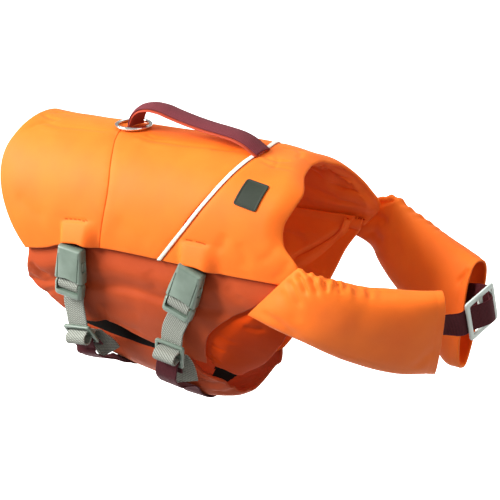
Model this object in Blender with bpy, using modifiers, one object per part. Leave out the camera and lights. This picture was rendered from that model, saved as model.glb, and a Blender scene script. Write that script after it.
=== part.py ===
"""A dog's foam life jacket, standing open in the hollow shape it has when it is worn.

The origin is at the inner top centre of the back, where the wearer's back holds the jacket up. +X points to
the neck, +Y to the wearer's left and +Z up. Sizes are in millimetres, and MM turns them into metres. The
buckles and adjusters are on the right side of the wearer, which is called the near side here.

Every cloth panel is laid on one form, the outer surface of the jacket. A place on it is given by x and by
the girth: the distance round the section from the ridge of the back, positive to the far side (+Y) and
negative to the near side (-Y).
"""

import math
from functools import lru_cache

import bmesh
import bpy
import numpy as np
from mathutils import Matrix, Vector

MM = 0.001
NAME = "dog_life_jacket"
NEAR = -1
FAR = 1

# Cloth and webbing
SEAM_GAP = 0.4          # between two panels that are sewn edge to edge
LAY_GAP = 0.3           # between a piece and what it lies on
BACK_FOAM = 12.0
FLAP_FOAM = 9.0
BELLY_FOAM = 7.0
HEM_THICK = 3.2         # foamless edge of a panel
GUSSET_THICK = 3.6
WEBBING_WIDTH = 25.0
WEBBING_THICK = 1.8
LINING_WIDTH = 23.0
LINING_THICK = 1.2
PIPING_WIDTH = 4.6
LABEL_SIZE = (22.0, 28.0)
LABEL_THICK = 0.9

# Hardware
RING_RADIUS = 18.0      # to the centre of the wire
RING_WIRE = 2.0
BUCKLE_WIDTH = 32.0
BUCKLE_THICK = 10.5
SOCKET_LENGTH = 35.0
PLUG_LENGTH = 22.0
LOCK_WIDTH = 34.0
LOCK_LENGTH = 27.0
LOCK_THICK = 3.6
SLIDE_WIDTH = 33.0
SLIDE_LENGTH = 37.0
SLIDE_THICK = 3.0

# The form, in sections from the tail to the neck. The roundness is the power of each half of a section.
FORM = np.array((
    # x, ridge, half width, widest height, bottom, upper roundness, lower roundness
    (-180.0, 17.0, 85.0, -106.0, -236.0, 2.15, 1.90),
    (-130.0, 13.5, 88.0, -103.0, -248.0, 2.20, 1.85),
    (-70.0, 13.0, 88.5, -100.0, -260.0, 2.25, 1.80),
    (0.0, 12.6, 88.5, -99.0, -274.0, 2.30, 1.80),
    (55.0, 12.2, 89.0, -99.0, -281.0, 2.40, 1.80),
    (95.0, 11.0, 90.0, -99.0, -268.0, 2.60, 1.75),
    (125.0, 9.0, 91.0, -99.0, -240.0, 2.70, 1.75),
    (155.0, 8.5, 91.0, -99.0, -220.0, 2.70, 1.80),
    (205.0, 11.0, 90.0, -99.0, -196.0, 2.70, 1.90),
))
SECTION_STEPS = 360
SLOPE_STEP = 2.0        # step over which a normal is measured

# Outlines. A share runs from 0 at the ridge to 1 at the orange hem, or from the top of a flap to its hem.
HEM_LINE = ((-180.0, -117.0), (-127.0, -109.0), (-100.0, -103.5), (-84.0, -97.5), (-64.0, -94.0), (-44.0, -92.5),
            (-20.0, -91.0), (60.0, -91.5), (205.0, -89.0))                       # x, height
TAIL_EDGE = ((0.0, -158.0), (0.13, -157.0), (0.26, -160.0), (0.38, -164.5), (0.48, -164.0), (0.58, -160.5),
             (0.68, -157.0), (0.81, -147.0), (1.0, -127.0))                      # share, x
CROSS_SEAM = ((0.0, -50.0), (0.15, -48.0), (0.35, -38.0), (0.55, -30.0), (1.0, -33.0))
PIPING_LINE = ((0.0, 111.0), (0.11, 109.5), (0.33, 103.0), (0.49, 93.0), (0.66, 77.0), (1.0, 39.0))
NECK_EDGE_NEAR = ((0.0, 163.0), (0.21, 169.0), (0.39, 178.0), (0.51, 174.0), (0.64, 168.5), (0.75, 172.0),
                  (0.87, 189.0), (1.0, 185.0))
NECK_EDGE_FAR = ((0.0, 163.0), (0.21, 169.0), (0.39, 178.0), (0.51, 184.0), (0.64, 193.0), (0.78, 202.0),
                 (0.87, 198.0), (1.0, 185.0))
FLAP_TAIL = ((0.0, -127.0), (0.5, -129.0), (1.0, -135.0))
FLAP_HEM = ((-140.0, -148.0), (-135.0, -151.0), (-114.0, -165.0), (-94.0, -180.0), (-68.0, -195.0),
            (-40.0, -200.0), (11.0, -202.0), (76.0, -209.0), (114.0, -216.0))    # x, height
FOLD_LINE = ((-209.0, 72.0), (-190.0, 76.0), (-166.0, 88.0), (-142.0, 115.0), (-126.0, 138.0), (-90.0, 171.0),
             (-78.0, 178.0))                                                     # height, x
GUSSET_EDGE = ((-231.0, 105.0), (-226.0, 113.0), (-216.0, 124.0), (-201.0, 137.0), (-181.0, 148.0),
               (-146.0, 160.0), (-114.0, 172.0), (-90.0, 184.0))                 # height, x
BELLY_TAIL = ((-1.0, -108.0), (-0.5, -92.0), (0.0, -84.0), (0.5, -88.0), (1.0, -98.0))   # share across, x
BELLY_FRONT = ((-1.0, 80.0), (-0.72, 88.0), (-0.4, 96.0), (0.0, 105.0), (0.5, 117.0), (1.0, 122.0))
BELLY_NEAR_EDGE = ((-110.0, -205.0), (-80.0, -213.0), (-55.0, -218.0), (-20.0, -219.0), (20.0, -220.0),
                   (45.0, -230.0), (66.0, -245.0), (90.0, -256.0))                  # x, height
BELLY_FAR_EDGE = ((-110.0, -169.0), (-94.0, -181.0), (-68.0, -195.6), (-40.0, -200.6), (11.0, -202.8),
                  (40.0, -206.6), (60.0, -210.0), (72.0, -214.0), (84.0, -221.0), (95.0, -229.0),
                  (106.0, -237.0), (124.0, -238.0))

# The straps: the middle line of each, as x against height, from the hem down to the belly.
STRAPS = (
    ((-98.6, -63.0), (-151.0, -69.0), (-190.0, -66.0), (-262.0, -54.0)),
    ((-97.2, 80.0), (-145.0, 65.0), (-190.0, 50.0), (-281.0, 42.0)),
)
STRAP_LEAVES = (-236.0, -252.0)     # the height at which each strap leaves the belly

# The two neck floats: top and bottom edge, thickness and share of the length.
FLOAT_NEAR = np.array((
    # share, top x, y, z, bottom x, y, z, thickness
    (0.00, 192.0, -93.9, -66.0, 140.0, -93.9, -126.0, 5.0),
    (0.10, 206.0, -98.0, -71.0, 162.0, -97.0, -132.0, 18.0),
    (0.28, 229.0, -95.0, -77.0, 194.0, -89.0, -143.0, 36.0),
    (0.52, 259.0, -82.0, -83.0, 233.0, -72.0, -156.0, 43.0),
    (0.78, 292.0, -65.0, -85.0, 275.0, -50.0, -171.0, 42.0),
    (1.00, 318.0, -50.0, -85.0, 309.0, -27.0, -177.0, 34.0),
))
FLOAT_FAR = np.array((
    (0.00, 196.0, 93.9, -58.0, 173.0, 93.9, -104.0, 5.0),
    (0.10, 215.0, 98.0, -51.0, 190.0, 96.0, -110.0, 18.0),
    (0.28, 241.0, 93.0, -60.0, 212.0, 87.0, -127.0, 36.0),
    (0.52, 272.0, 80.0, -71.0, 246.0, 70.0, -149.0, 43.0),
    (0.78, 303.0, 64.0, -82.0, 287.0, 50.0, -176.0, 42.0),
    (1.00, 325.0, 50.0, -87.0, 318.0, 27.0, -190.0, 34.0),
))
FLOATS = {NEAR: FLOAT_NEAR, FAR: FLOAT_FAR}
FLOAT_ROUNDNESS = 2.7
FLOAT_MOUTH = 14.0      # depth of the open sleeve at the end
FLOAT_WALL = 2.6

HANDLE_PATH = ((-45.0, 13.8), (-42.5, 20.0), (-34.0, 32.0), (-20.0, 42.0), (-4.0, 42.5), (14.0, 37.0),
               (42.0, 30.0), (72.0, 24.5), (92.0, 19.5), (102.0, 15.5), (107.0, 13.4))   # x, height


def table(rows, value):
    """The smooth curve through a table of (place, value) rows."""
    rows = np.asarray(rows, dtype=float)
    places = rows[:, 0]
    values = rows[:, 1:]
    slopes = np.gradient(values, places, axis=0)
    value = min(max(value, places[0]), places[-1])
    k = min(int(np.searchsorted(places, value, side="right")) - 1, len(places) - 2)
    span = places[k + 1] - places[k]
    t = (value - places[k]) / span
    start = (2 * t**3 - 3 * t**2 + 1) * values[k] + (t**3 - 2 * t**2 + t) * span * slopes[k]
    end = (3 * t**2 - 2 * t**3) * values[k + 1] + (t**3 - t**2) * span * slopes[k + 1]
    found = start + end
    return float(found[0]) if found.size == 1 else found


def mix(a, b, share):
    return a + (b - a) * share


def ease(value):
    """0 below 0, 1 above 1, and a smooth step between."""
    value = min(max(value, 0.0), 1.0)
    return value * value * (3.0 - 2.0 * value)


# The form ------------------------------------------------------------------------------------------------


@lru_cache(maxsize=None)
def section(x):
    """Half width, height and girth of one section, from the ridge to the bottom."""
    ridge, half, widest, bottom, upper, lower = table(FORM, x)
    turn = np.linspace(0.0, math.pi, SECTION_STEPS + 1)
    above = turn <= math.pi / 2
    power = 2.0 / np.where(above, upper, lower)
    rise = np.where(above, ridge - widest, widest - bottom)
    y = half * np.clip(np.sin(turn), 0.0, 1.0) ** power
    z = widest + rise * np.sign(np.cos(turn)) * np.abs(np.cos(turn)) ** power
    girth = np.concatenate(([0.0], np.cumsum(np.hypot(np.diff(y), np.diff(z)))))
    return y, z, girth


def form_point(x, girth):
    y, z, lengths = section(round(x, 2))
    reach = abs(girth)
    side = math.copysign(1.0, girth)
    if reach > lengths[-1]:
        reach = 2.0 * lengths[-1] - reach
        side = -side
    return np.array((x, side * np.interp(reach, lengths, y), np.interp(reach, lengths, z)))


def girth_at(x, height):
    _, z, lengths = section(round(x, 2))
    return float(np.interp(-height, -z, lengths))


def whole_girth(x):
    """Twice the girth from the ridge to the bottom."""
    return 2.0 * float(section(round(x, 2))[2][-1])


def on_form(x, girth, out=0.0):
    """A point on the form, moved out along its normal."""
    ahead = form_point(x + SLOPE_STEP, girth) - form_point(x - SLOPE_STEP, girth)
    around = form_point(x, girth + SLOPE_STEP) - form_point(x, girth - SLOPE_STEP)
    normal = np.cross(ahead, around)
    return form_point(x, girth) + normal * (out / np.linalg.norm(normal))


def hem_girth(x):
    return girth_at(x, table(HEM_LINE, x))


# Materials and objects -----------------------------------------------------------------------------------


def material(name, colour, roughness, metallic=0.0):
    found = bpy.data.materials.get(name)
    if found:
        return found
    made = bpy.data.materials.new(name)
    made.use_nodes = True
    shader = made.node_tree.nodes["Principled BSDF"]
    shader.inputs["Base Color"].default_value = (*colour, 1.0)
    shader.inputs["Roughness"].default_value = roughness
    shader.inputs["Metallic"].default_value = metallic
    return made


def orange_cloth():
    return material("orange_cloth", (0.86, 0.26, 0.04), 0.75)


def rust_cloth():
    return material("rust_cloth", (0.55, 0.09, 0.04), 0.75)


def burgundy_webbing():
    return material("burgundy_webbing", (0.09, 0.02, 0.03), 0.7)


def grey_webbing():
    return material("grey_webbing", (0.55, 0.58, 0.55), 0.7)


def buckle_plastic():
    return material("buckle_plastic", (0.20, 0.25, 0.21), 0.45)


def slide_plastic():
    return material("slide_plastic", (0.60, 0.68, 0.66), 0.35)


def ring_metal():
    return material("ring_metal", (0.75, 0.74, 0.72), 0.25, 1.0)


def collection(name, scene):
    made = bpy.data.collections.new(name)
    scene.collection.children.link(made)
    return made


def add_mesh(name, mesh, group, finish, smooth_angle=50.0):
    piece = bpy.data.objects.new(name, mesh)
    group.objects.link(piece)
    mesh.materials.clear()
    mesh.materials.append(finish)
    mesh.shade_smooth()
    mesh.set_sharp_from_angle(angle=math.radians(smooth_angle))
    return piece


def sheet(name, group, finish, cells, place, thick, offset=-1.0):
    """An open grid laid out by place(u, v) and thickened by thick(u, v), inwards for an offset of -1."""
    mesh = bpy.data.meshes.new(name)
    grid = bmesh.new()
    bmesh.ops.create_grid(grid, x_segments=cells[0], y_segments=cells[1], size=1.0)
    weights = grid.verts.layers.deform.verify()
    shares = [((vert.co.x + 1.0) / 2.0, (vert.co.y + 1.0) / 2.0) for vert in grid.verts]
    thicks = [thick(u, v) for u, v in shares]
    most = max(thicks)
    for vert, (u, v), depth in zip(grid.verts, shares, thicks):
        vert.co = Vector(place(u, v)) * MM
        vert[weights][0] = depth / most
    grid.to_mesh(mesh)
    grid.free()
    piece = add_mesh(name, mesh, group, finish)
    piece.vertex_groups.new(name="thickness")
    wall = piece.modifiers.new("wall", "SOLIDIFY")
    wall.thickness = most * MM
    wall.offset = offset
    wall.vertex_group = "thickness"
    wall.use_even_offset = False
    return piece


def ribbon(name, group, finish, points, across, width=WEBBING_WIDTH, thick=WEBBING_THICK, fine=2):
    """Flat webbing along a smooth path, in fine steps from point to point.

    Its width lies along one across direction, or one for each point.
    """
    points = np.asarray(points, dtype=float)
    lengths = np.concatenate(([0.0], np.cumsum(np.linalg.norm(np.diff(points, axis=0), axis=1))))
    rows = np.column_stack((lengths, points))
    turns = np.column_stack((lengths, np.broadcast_to(np.asarray(across, dtype=float), points.shape)))

    places = np.arange(len(lengths))

    def place(u, v):
        along = np.interp(u * places[-1], places, lengths)
        spot = table(rows, along)
        ahead = table(rows, along + 0.5) - table(rows, along - 0.5)
        ahead /= np.linalg.norm(ahead)
        side = table(turns, along)
        side -= ahead * side.dot(ahead)
        side /= np.linalg.norm(side)
        return spot + side * width * (v - 0.5)

    return sheet(name, group, finish, (fine * places[-1], 1), place, lambda u, v: thick, offset=0.0)


def block(name, group, finish, size, centre, bevel=0.0, segments=2):
    """A box with rounded edges, in the frame that it is later moved to."""
    mesh = bpy.data.meshes.new(name)
    box = bmesh.new()
    bmesh.ops.create_cube(box, size=1.0)
    for vert in box.verts:
        vert.co = Vector(a * s + c for a, s, c in zip(vert.co, size, centre)) * MM
    box.to_mesh(mesh)
    box.free()
    piece = add_mesh(name, mesh, group, finish, 40.0)
    if bevel:
        edge = piece.modifiers.new("edge", "BEVEL")
        edge.width = bevel * MM
        edge.segments = segments
    return piece


def carve(piece, cutters, size, centre, bevel=0.0):
    """Cuts a box out of a piece."""
    tool = block("cut_" + piece.name, cutters, buckle_plastic(), size, centre, bevel)
    hide_cutter(tool, piece)
    cut = piece.modifiers.new("cut", "BOOLEAN")
    cut.object = tool
    cut.operation = "DIFFERENCE"


def fuse(piece, cutters, size, centre, bevel=0.0):
    """Joins a box to a piece."""
    tool = block("add_" + piece.name, cutters, buckle_plastic(), size, centre, bevel)
    hide_cutter(tool, piece)
    join = piece.modifiers.new("join", "BOOLEAN")
    join.object = tool
    join.operation = "UNION"


def hide_cutter(tool, piece):
    tool.parent = piece
    tool.hide_render = True
    tool.display_type = "WIRE"


def frame_at(name, group, origin, across, down):
    """An empty whose X runs across, whose -Z runs down, and whose -Y points out."""
    across = Vector(across).normalized()
    up = -Vector(down).normalized()
    back = up.cross(across).normalized()
    across = back.cross(up)
    empty = bpy.data.objects.new(name, None)
    group.objects.link(empty)
    empty.matrix_world = Matrix.Translation(Vector(origin) * MM) @ Matrix((across, back, up)).transposed().to_4x4()
    return empty


# Back panels ---------------------------------------------------------------------------------------------


def hem_bump(x, girth):
    """How far the near hem stands out over the top of each buckle."""
    if girth > 0.0:
        return 0.0
    above = hem_girth(x) - abs(girth)
    lift = 0.0
    for strap in STRAPS:
        beside = abs(x - strap[0][1]) - BUCKLE_WIDTH / 2
        lift = max(lift, ease(1.0 - beside / 26.0) * ease(1.0 - above / 44.0))
    return lift * (BUCKLE_THICK - 2.0)


def seam_line(line, shift=0.0, far_line=None):
    """The x of a line over the back at w, which runs from -1 at the near hem to 1 at the far hem."""
    return lambda w: table(far_line if far_line and w > 0.0 else line, abs(w)) + shift


def back_panel(name, group, rear, front, columns, foam_rear, foam_front, roll=0.0):
    """One back panel, from the near hem over the ridge to the far hem, between two lines over the back."""

    def spot(u, v):
        w = 2.0 * v - 1.0
        x = mix(rear(w), front(w), u)
        return w, x, w * hem_girth(x)

    def place(u, v):
        w, x, girth = spot(u, v)
        inward = roll * max(0.0, 1.0 - (front(w) - x) / 20.0) ** 2
        inward *= ease((hem_girth(x) - abs(girth) - 14.0) / 36.0)
        return on_form(x, girth, hem_bump(x, girth) - inward)

    def thick(u, v):
        w, x, girth = spot(u, v)
        behind = (x - rear(w)) / foam_rear
        ahead = (front(w) - x) / foam_front
        above = (hem_girth(x) - abs(girth) - 12.0) / 18.0
        fill = ease(behind + 0.12) * ease(ahead + 0.12) * ease(above)
        return mix(HEM_THICK, BACK_FOAM, fill)

    return sheet(name, group, orange_cloth(), (columns, 36), place, thick)


def build_back(group):
    half_seam = SEAM_GAP / 2
    half_pipe = PIPING_WIDTH / 2 + SEAM_GAP / 2
    back_panel("back_rear", group, seam_line(TAIL_EDGE), seam_line(CROSS_SEAM, -half_seam), 12, 26.0, 7.0)
    back_panel("back_mid", group, seam_line(CROSS_SEAM, half_seam), seam_line(PIPING_LINE, -half_pipe), 9, 7.0, 7.0)
    back_panel("back_front", group, seam_line(PIPING_LINE, half_pipe),
               seam_line(NECK_EDGE_NEAR, far_line=NECK_EDGE_FAR), 12, 7.0, 12.0, roll=7.0)


def build_piping(group):
    def place(u, v):
        share = abs(2.0 * v - 1.0)
        x = table(PIPING_LINE, share) + (u - 0.5) * PIPING_WIDTH
        girth = (2.0 * v - 1.0) * hem_girth(x)
        return on_form(x, girth, hem_bump(x, girth) + 0.6 + 1.0 * math.sin(math.pi * u))

    sheet("reflective_piping", group, material("reflective_piping", (0.78, 0.80, 0.80), 0.4), (2, 36), place,
          lambda u, v: 3.4)


def build_label(group):
    def place(u, v):
        x = 118.0 + LABEL_SIZE[0] * u + 6.0 * v
        girth = -(87.0 - LABEL_SIZE[1] * v)
        return on_form(x, girth, LAY_GAP + LABEL_THICK)

    sheet("label", group, material("label_cloth", (0.03, 0.045, 0.035), 0.6), (4, 5), place,
          lambda u, v: LABEL_THICK)


# Side flaps, gussets and belly ---------------------------------------------------------------------------


def fold_spot(v):
    """x and girth of the line where a flap turns into its gusset, from its top down to its hem."""
    height = mix(FOLD_LINE[-1][0], FOLD_LINE[0][0], v)
    x = table(FOLD_LINE, height)
    return x, girth_at(x, height)


def flap_spot(u, v):
    """x and girth of a place on a flap, from its tail edge to the fold and from its top to its hem."""
    fold_x, fold_girth = fold_spot(v)
    x = mix(table(FLAP_TAIL, v), fold_x - SEAM_GAP, u)
    top = hem_girth(fold_x) - 9.0
    fold_share = (fold_girth - top) / (girth_at(fold_x, table(FLAP_HEM, fold_x)) - top)
    share = mix(v, fold_share, u)
    return x, mix(hem_girth(x) - 9.0, girth_at(x, table(FLAP_HEM, x)), share)


def build_flap(name, group, side):
    def place(u, v):
        if side == NEAR:
            v = 1.0 - v
        x, girth = flap_spot(u, v)
        below = girth - hem_girth(x)
        out = mix(-(HEM_THICK + LAY_GAP + 0.9), 0.0, ease((below - 2.0) / 22.0))
        crease = 2.6 * math.exp(-((below - 44.0) / 9.0) ** 2)
        return on_form(x, side * girth, out - crease)

    def thick(u, v):
        if side == NEAR:
            v = 1.0 - v
        x, girth = flap_spot(u, v)
        below = girth - hem_girth(x)
        above_hem = girth_at(x, table(FLAP_HEM, x)) - girth
        ahead = fold_spot(v)[0] - x
        behind = x - table(FLAP_TAIL, v)
        fill = ease((below + 2.0) / 18.0) * ease(above_hem / 16.0) * ease(ahead / 14.0) * ease(behind / 20.0)
        return mix(HEM_THICK - 0.6, FLAP_FOAM, fill)

    sheet(name, group, rust_cloth(), (26, 10), place, thick)


def gusset_spot(u, v):
    """x and girth of a place on a gusset, from the fold to the free edge and from the hem line down."""
    fold_top = (FOLD_LINE[-1][0] - GUSSET_EDGE[-1][0]) / (FOLD_LINE[-1][0] - FOLD_LINE[0][0])
    fold_x, fold_girth = fold_spot(mix(fold_top, 1.0, v))
    height = mix(GUSSET_EDGE[-1][0], GUSSET_EDGE[0][0], v)
    edge_x = table(GUSSET_EDGE, height)
    x = mix(fold_x + 2.0 * SEAM_GAP, edge_x, u)
    top = hem_girth(x) + 1.7
    return x, max(top, mix(fold_girth, girth_at(edge_x, height), u))


def build_gusset(name, group, side):
    def place(u, v):
        if side == NEAR:
            v = 1.0 - v
        x, girth = gusset_spot(u, v)
        return on_form(x, side * girth, -9.0 * u * u * ease(4.0 * v))

    sheet(name, group, orange_cloth(), (7, 10), place, lambda u, v: GUSSET_THICK)


def belly_spot(u, v):
    """x and girth of a place on the belly panel, from its far edge under the belly to its near edge."""
    share = 1.0 - 2.0 * v
    x = mix(table(BELLY_TAIL, share), table(BELLY_FRONT, share), u)
    far = girth_at(x, table(BELLY_FAR_EDGE, x)) + 3.0 * SEAM_GAP
    near = whole_girth(x) - girth_at(x, table(BELLY_NEAR_EDGE, x))
    return x, mix(far, near, v)


def build_belly(group):
    def place(u, v):
        x, girth = belly_spot(u, v)
        near_tuck = 10.0 * ease(1.0 - (1.0 - v) / 0.24)
        return on_form(x, girth, -0.5 - near_tuck)

    def thick(u, v):
        edge = min(u, 1.0 - u) * 12.0
        side = min(v, 1.0 - v) * 10.0
        return mix(HEM_THICK, BELLY_FOAM, ease(edge) * ease(side))

    sheet("belly_panel", group, rust_cloth(), (14, 18), place, thick)


# Neck floats ---------------------------------------------------------------------------------------------


def float_frame(share, side):
    """Centre, half width vector, outward unit and half thickness of a float at a share of its length."""
    row = table(FLOATS[side], share)
    return (row[0:3] + row[3:6]) / 2.0, (row[0:3] - row[3:6]) / 2.0, row[6] / 2.0


def float_ring(share, side, shrink, count):
    """One closed ring round a float, made smaller by shrink on every side."""
    centre, half, thick = float_frame(share, side)
    ahead = float_frame(share + 0.02, side)[0] - float_frame(share - 0.02, side)[0]
    out = np.cross(half, ahead)
    out *= np.sign(out[1]) * side / np.linalg.norm(out)
    width = np.linalg.norm(half)
    ring = []
    for k in range(count):
        turn = 2.0 * math.pi * k / count
        c = math.cos(turn)
        s = math.sin(turn)
        wide = math.copysign(abs(c) ** (2.0 / FLOAT_ROUNDNESS), c)
        deep = math.copysign(abs(s) ** (2.0 / FLOAT_ROUNDNESS), s)
        gather = 1.0 + 0.10 * math.sin(7.0 * turn + 0.6) * ease(share / 0.08) * ease((0.42 - share) / 0.3)
        ring.append(centre + half * wide * (1.0 - shrink / width) + out * deep * max(thick - shrink, 0.8) * gather)
    return ring


def loft(name, group, finish, rings):
    """A closed body through rings of points, with a cap at each end."""
    mesh = bpy.data.meshes.new(name)
    body = bmesh.new()
    loops = [[body.verts.new(Vector(point) * MM) for point in ring] for ring in rings]
    count = len(rings[0])
    for first, second in zip(loops, loops[1:]):
        for k in range(count):
            body.faces.new((first[k], first[(k + 1) % count], second[(k + 1) % count], second[k]))
    body.faces.new(loops[0])
    body.faces.new(loops[-1])
    bmesh.ops.recalc_face_normals(body, faces=body.faces)
    body.to_mesh(mesh)
    body.free()
    return add_mesh(name, mesh, group, finish)


def build_float(name, group, side):
    count = 28
    shares = (0.0, 0.04, 0.09, 0.15, 0.22, 0.30, 0.38, 0.47, 0.56, 0.66, 0.76, 0.85, 0.93, 0.98)
    rings = [float_ring(share, side, 0.0, count) for share in shares]
    length = 165.0
    rings.append(float_ring(1.0, side, 0.8, count))
    rings.append(float_ring(1.0, side, FLOAT_WALL, count))
    rings.append(float_ring(1.0 - FLOAT_MOUTH / length, side, FLOAT_WALL + 0.6, count))
    loft(name, group, orange_cloth(), rings)


# Straps, buckles and adjusters ---------------------------------------------------------------------------

BUCKLE_BACK = -90.0     # y of the face that lies on the flap
BUCKLE_SLOPE = 30.0     # depth below the top of a buckle at which its slope is taken
ADJUSTER_TOP = -182.0   # height of an adjuster's upper end
ADJUSTER_SLOPE = -195.0


def strap_x(strap, height):
    rows = sorted(strap)
    return table(rows, height)


def build_buckle(index, strap, group, cutters):
    """A fastened side-release buckle: a hollow socket above and a plug with two arms below."""
    top = strap[0][0]
    across, down = slanted(strap, top - BUCKLE_SLOPE)
    place = frame_at("buckle_%d" % index, group, (strap_x(strap, top), BUCKLE_BACK, top), across, down)
    mid = -BUCKLE_THICK / 2

    socket = block("buckle_socket_%d" % index, group, buckle_plastic(),
                   (BUCKLE_WIDTH, BUCKLE_THICK, SOCKET_LENGTH), (0.0, mid, -SOCKET_LENGTH / 2), 2.0)
    carve(socket, cutters, (25.0, 5.0, 26.0), (0.0, mid, -SOCKET_LENGTH + 12.0))
    for side in (-1.0, 1.0):
        carve(socket, cutters, (8.0, 6.0, 12.0), (side * (BUCKLE_WIDTH / 2 - 0.5), mid, -14.0), 1.0)
    carve(socket, cutters, (26.0, BUCKLE_THICK + 4.0, 3.6), (0.0, mid, -5.2))

    plug_top = -SOCKET_LENGTH - LAY_GAP
    plug = block("buckle_plug_%d" % index, group, buckle_plastic(),
                 (BUCKLE_WIDTH - 0.6, BUCKLE_THICK - 0.8, PLUG_LENGTH),
                 (0.0, mid, plug_top - PLUG_LENGTH / 2), 1.6)
    carve(plug, cutters, (26.4, BUCKLE_THICK + 4.0, 12.0), (0.0, mid, plug_top - 9.5))
    for side in (-1.0, 1.0):
        fuse(plug, cutters, (4.4, 4.0, 24.0), (side * 9.6, mid, plug_top + 10.0), 0.6)
    for piece in (socket, plug):
        piece.parent = place


def build_adjuster(index, strap, group, cutters):
    """A frame with three bars across it."""
    across, down = slanted(strap, ADJUSTER_SLOPE)
    place = frame_at("adjuster_place_%d" % index, group, (strap_x(strap, ADJUSTER_TOP), -92.5, ADJUSTER_TOP),
                     across, down)
    frame = block("adjuster_%d" % index, group, buckle_plastic(), (LOCK_WIDTH, LOCK_THICK, LOCK_LENGTH),
                  (0.0, 0.0, -LOCK_LENGTH / 2), 1.0)
    carve(frame, cutters, (26.6, LOCK_THICK + 4.0, 7.0), (0.0, 0.0, -7.0))
    carve(frame, cutters, (26.6, LOCK_THICK + 4.0, 8.6), (0.0, 0.0, -18.6))
    frame.parent = place


def slanted(strap, height):
    """The directions across and down a strap at a height. Its hardware is straight, and 30 to 60 mm long."""
    slant = strap_x(strap, height + 20.0) - strap_x(strap, height - 20.0)
    long = math.hypot(40.0, slant)
    return np.array((40.0, 0.0, -slant)) / long, np.array((-slant, 0.0, -40.0)) / long


def below(strap, top, slope, rows):
    """Points given by y and by the distance down from the top of a buckle or an adjuster."""
    down = slanted(strap, slope)[1]
    start = np.array((strap_x(strap, top), 0.0, top))
    return [start + down * far + np.array((0.0, y, 0.0)) for y, far in rows]


def build_straps(index, strap, group):
    """The stub that holds the buckle under the hem, and the grey webbing from its plug to the adjuster."""
    top = strap[0][0]
    slope = top - BUCKLE_SLOPE
    back = BUCKLE_BACK + 1.2
    holder = below(strap, top, slope, ((back, -11.0), (back, -4.0), (back, 5.0)))
    ribbon("buckle_web_%d" % index, group, burgundy_webbing(), holder, slanted(strap, slope)[0], fine=1)

    upper = below(strap, top, slope, (
        (-96.0, 40.4),
        (-97.0, 43.4),
        (-93.4, 47.0),
        (-88.7, 49.6),
        (-87.6, 54.0),
        (-88.0, 60.0),
    ))
    lower = below(strap, ADJUSTER_TOP, ADJUSTER_SLOPE, (
        (-88.8, -12.0),
        (-88.8, -3.0),
        (-88.8, 2.0),
        (-91.6, 6.6),
        (-96.5, 6.9),
        (-101.5, 7.2),
        (-104.5, 12.0),
        (-101.5, 17.2),
        (-96.0, 17.8),
        (-90.5, 16.9),
        (-84.0, 18.0),
        (-78.0, 24.0),
        (-75.0, 31.0),
        (-74.0, 37.0),
    ))
    across = [slanted(strap, slope)[0]] * len(upper) + [slanted(strap, ADJUSTER_SLOPE)[0]] * len(lower)
    ribbon("grey_web_%d" % index, group, grey_webbing(), upper + lower, across)


def build_belly_strap(index, strap, group):
    """One strap from the far hem, under the belly and up to a loop round the adjuster's lowest bar."""
    lowest = strap[-1][1]
    top = hem_girth(lowest) + 1.0
    leaves = whole_girth(lowest) - girth_at(lowest, STRAP_LEAVES[index - 1])
    girths = np.linspace(top, leaves, 20)
    wide = WEBBING_WIDTH / 2
    points = [on_form(lowest, girth, LAY_GAP + WEBBING_THICK / 2) for girth in girths]
    across = [form_point(lowest + wide, girth) - form_point(lowest - wide, girth) for girth in girths]
    across = [side / np.linalg.norm(side) for side in across]
    loop = below(strap, ADJUSTER_TOP, ADJUSTER_SLOPE, (
        (-84.0, 42.0 - 4.0 * (2 - index)),
        (-92.5, 35.5),
        (-96.6, 27.0),
        (-96.0, 21.8),
        (-92.5, 20.0),
        (-89.2, 21.8),
        (-87.8, 27.0),
        (-87.4, 32.0),
        (-86.8, 36.0),
    ))
    across += [slanted(strap, ADJUSTER_SLOPE)[0]] * len(loop)
    ribbon("belly_strap_%d" % index, group, burgundy_webbing(), points + loop, across)


# Handle, ring and neck strap -----------------------------------------------------------------------------


def build_handle(group):
    path = np.array([(x, 0.0, z) for x, z in HANDLE_PATH])
    rise = (WEBBING_THICK + LINING_THICK) / 2 + LAY_GAP
    ahead = np.gradient(path, axis=0)
    normal = np.column_stack((-ahead[:, 2], ahead[:, 1], ahead[:, 0]))
    normal /= np.linalg.norm(normal, axis=1)[:, None]
    ribbon("handle_webbing", group, burgundy_webbing(), path, (0.0, -1.0, 0.0))
    ribbon("handle_lining", group, orange_cloth(), path - normal * rise, (0.0, -1.0, 0.0), LINING_WIDTH,
           LINING_THICK)


def build_ring(group):
    bpy.ops.mesh.primitive_torus_add(major_segments=36, minor_segments=8, major_radius=RING_RADIUS * MM,
                                     minor_radius=RING_WIRE * MM)
    ring = bpy.context.object
    ring.name = "lead_ring"
    ring.data.name = "lead_ring"
    for owner in list(ring.users_collection):
        owner.objects.unlink(ring)
    group.objects.link(ring)
    ring.data.materials.append(ring_metal())
    ring.data.shade_smooth()
    pivot = bpy.data.objects.new("ring_pivot", None)
    group.objects.link(pivot)
    pivot.location = Vector((-43.0 + RING_RADIUS, 0.0, 12.9 + LAY_GAP + RING_WIRE)) * MM
    ring.parent = pivot
    ring.location = Vector((-RING_RADIUS, 0.0, 0.0)) * MM


def mouth_across(side):
    """The direction from the bottom to the top of a float's open end."""
    half = float_frame(1.0, side)[1]
    return half / np.linalg.norm(half)


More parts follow.
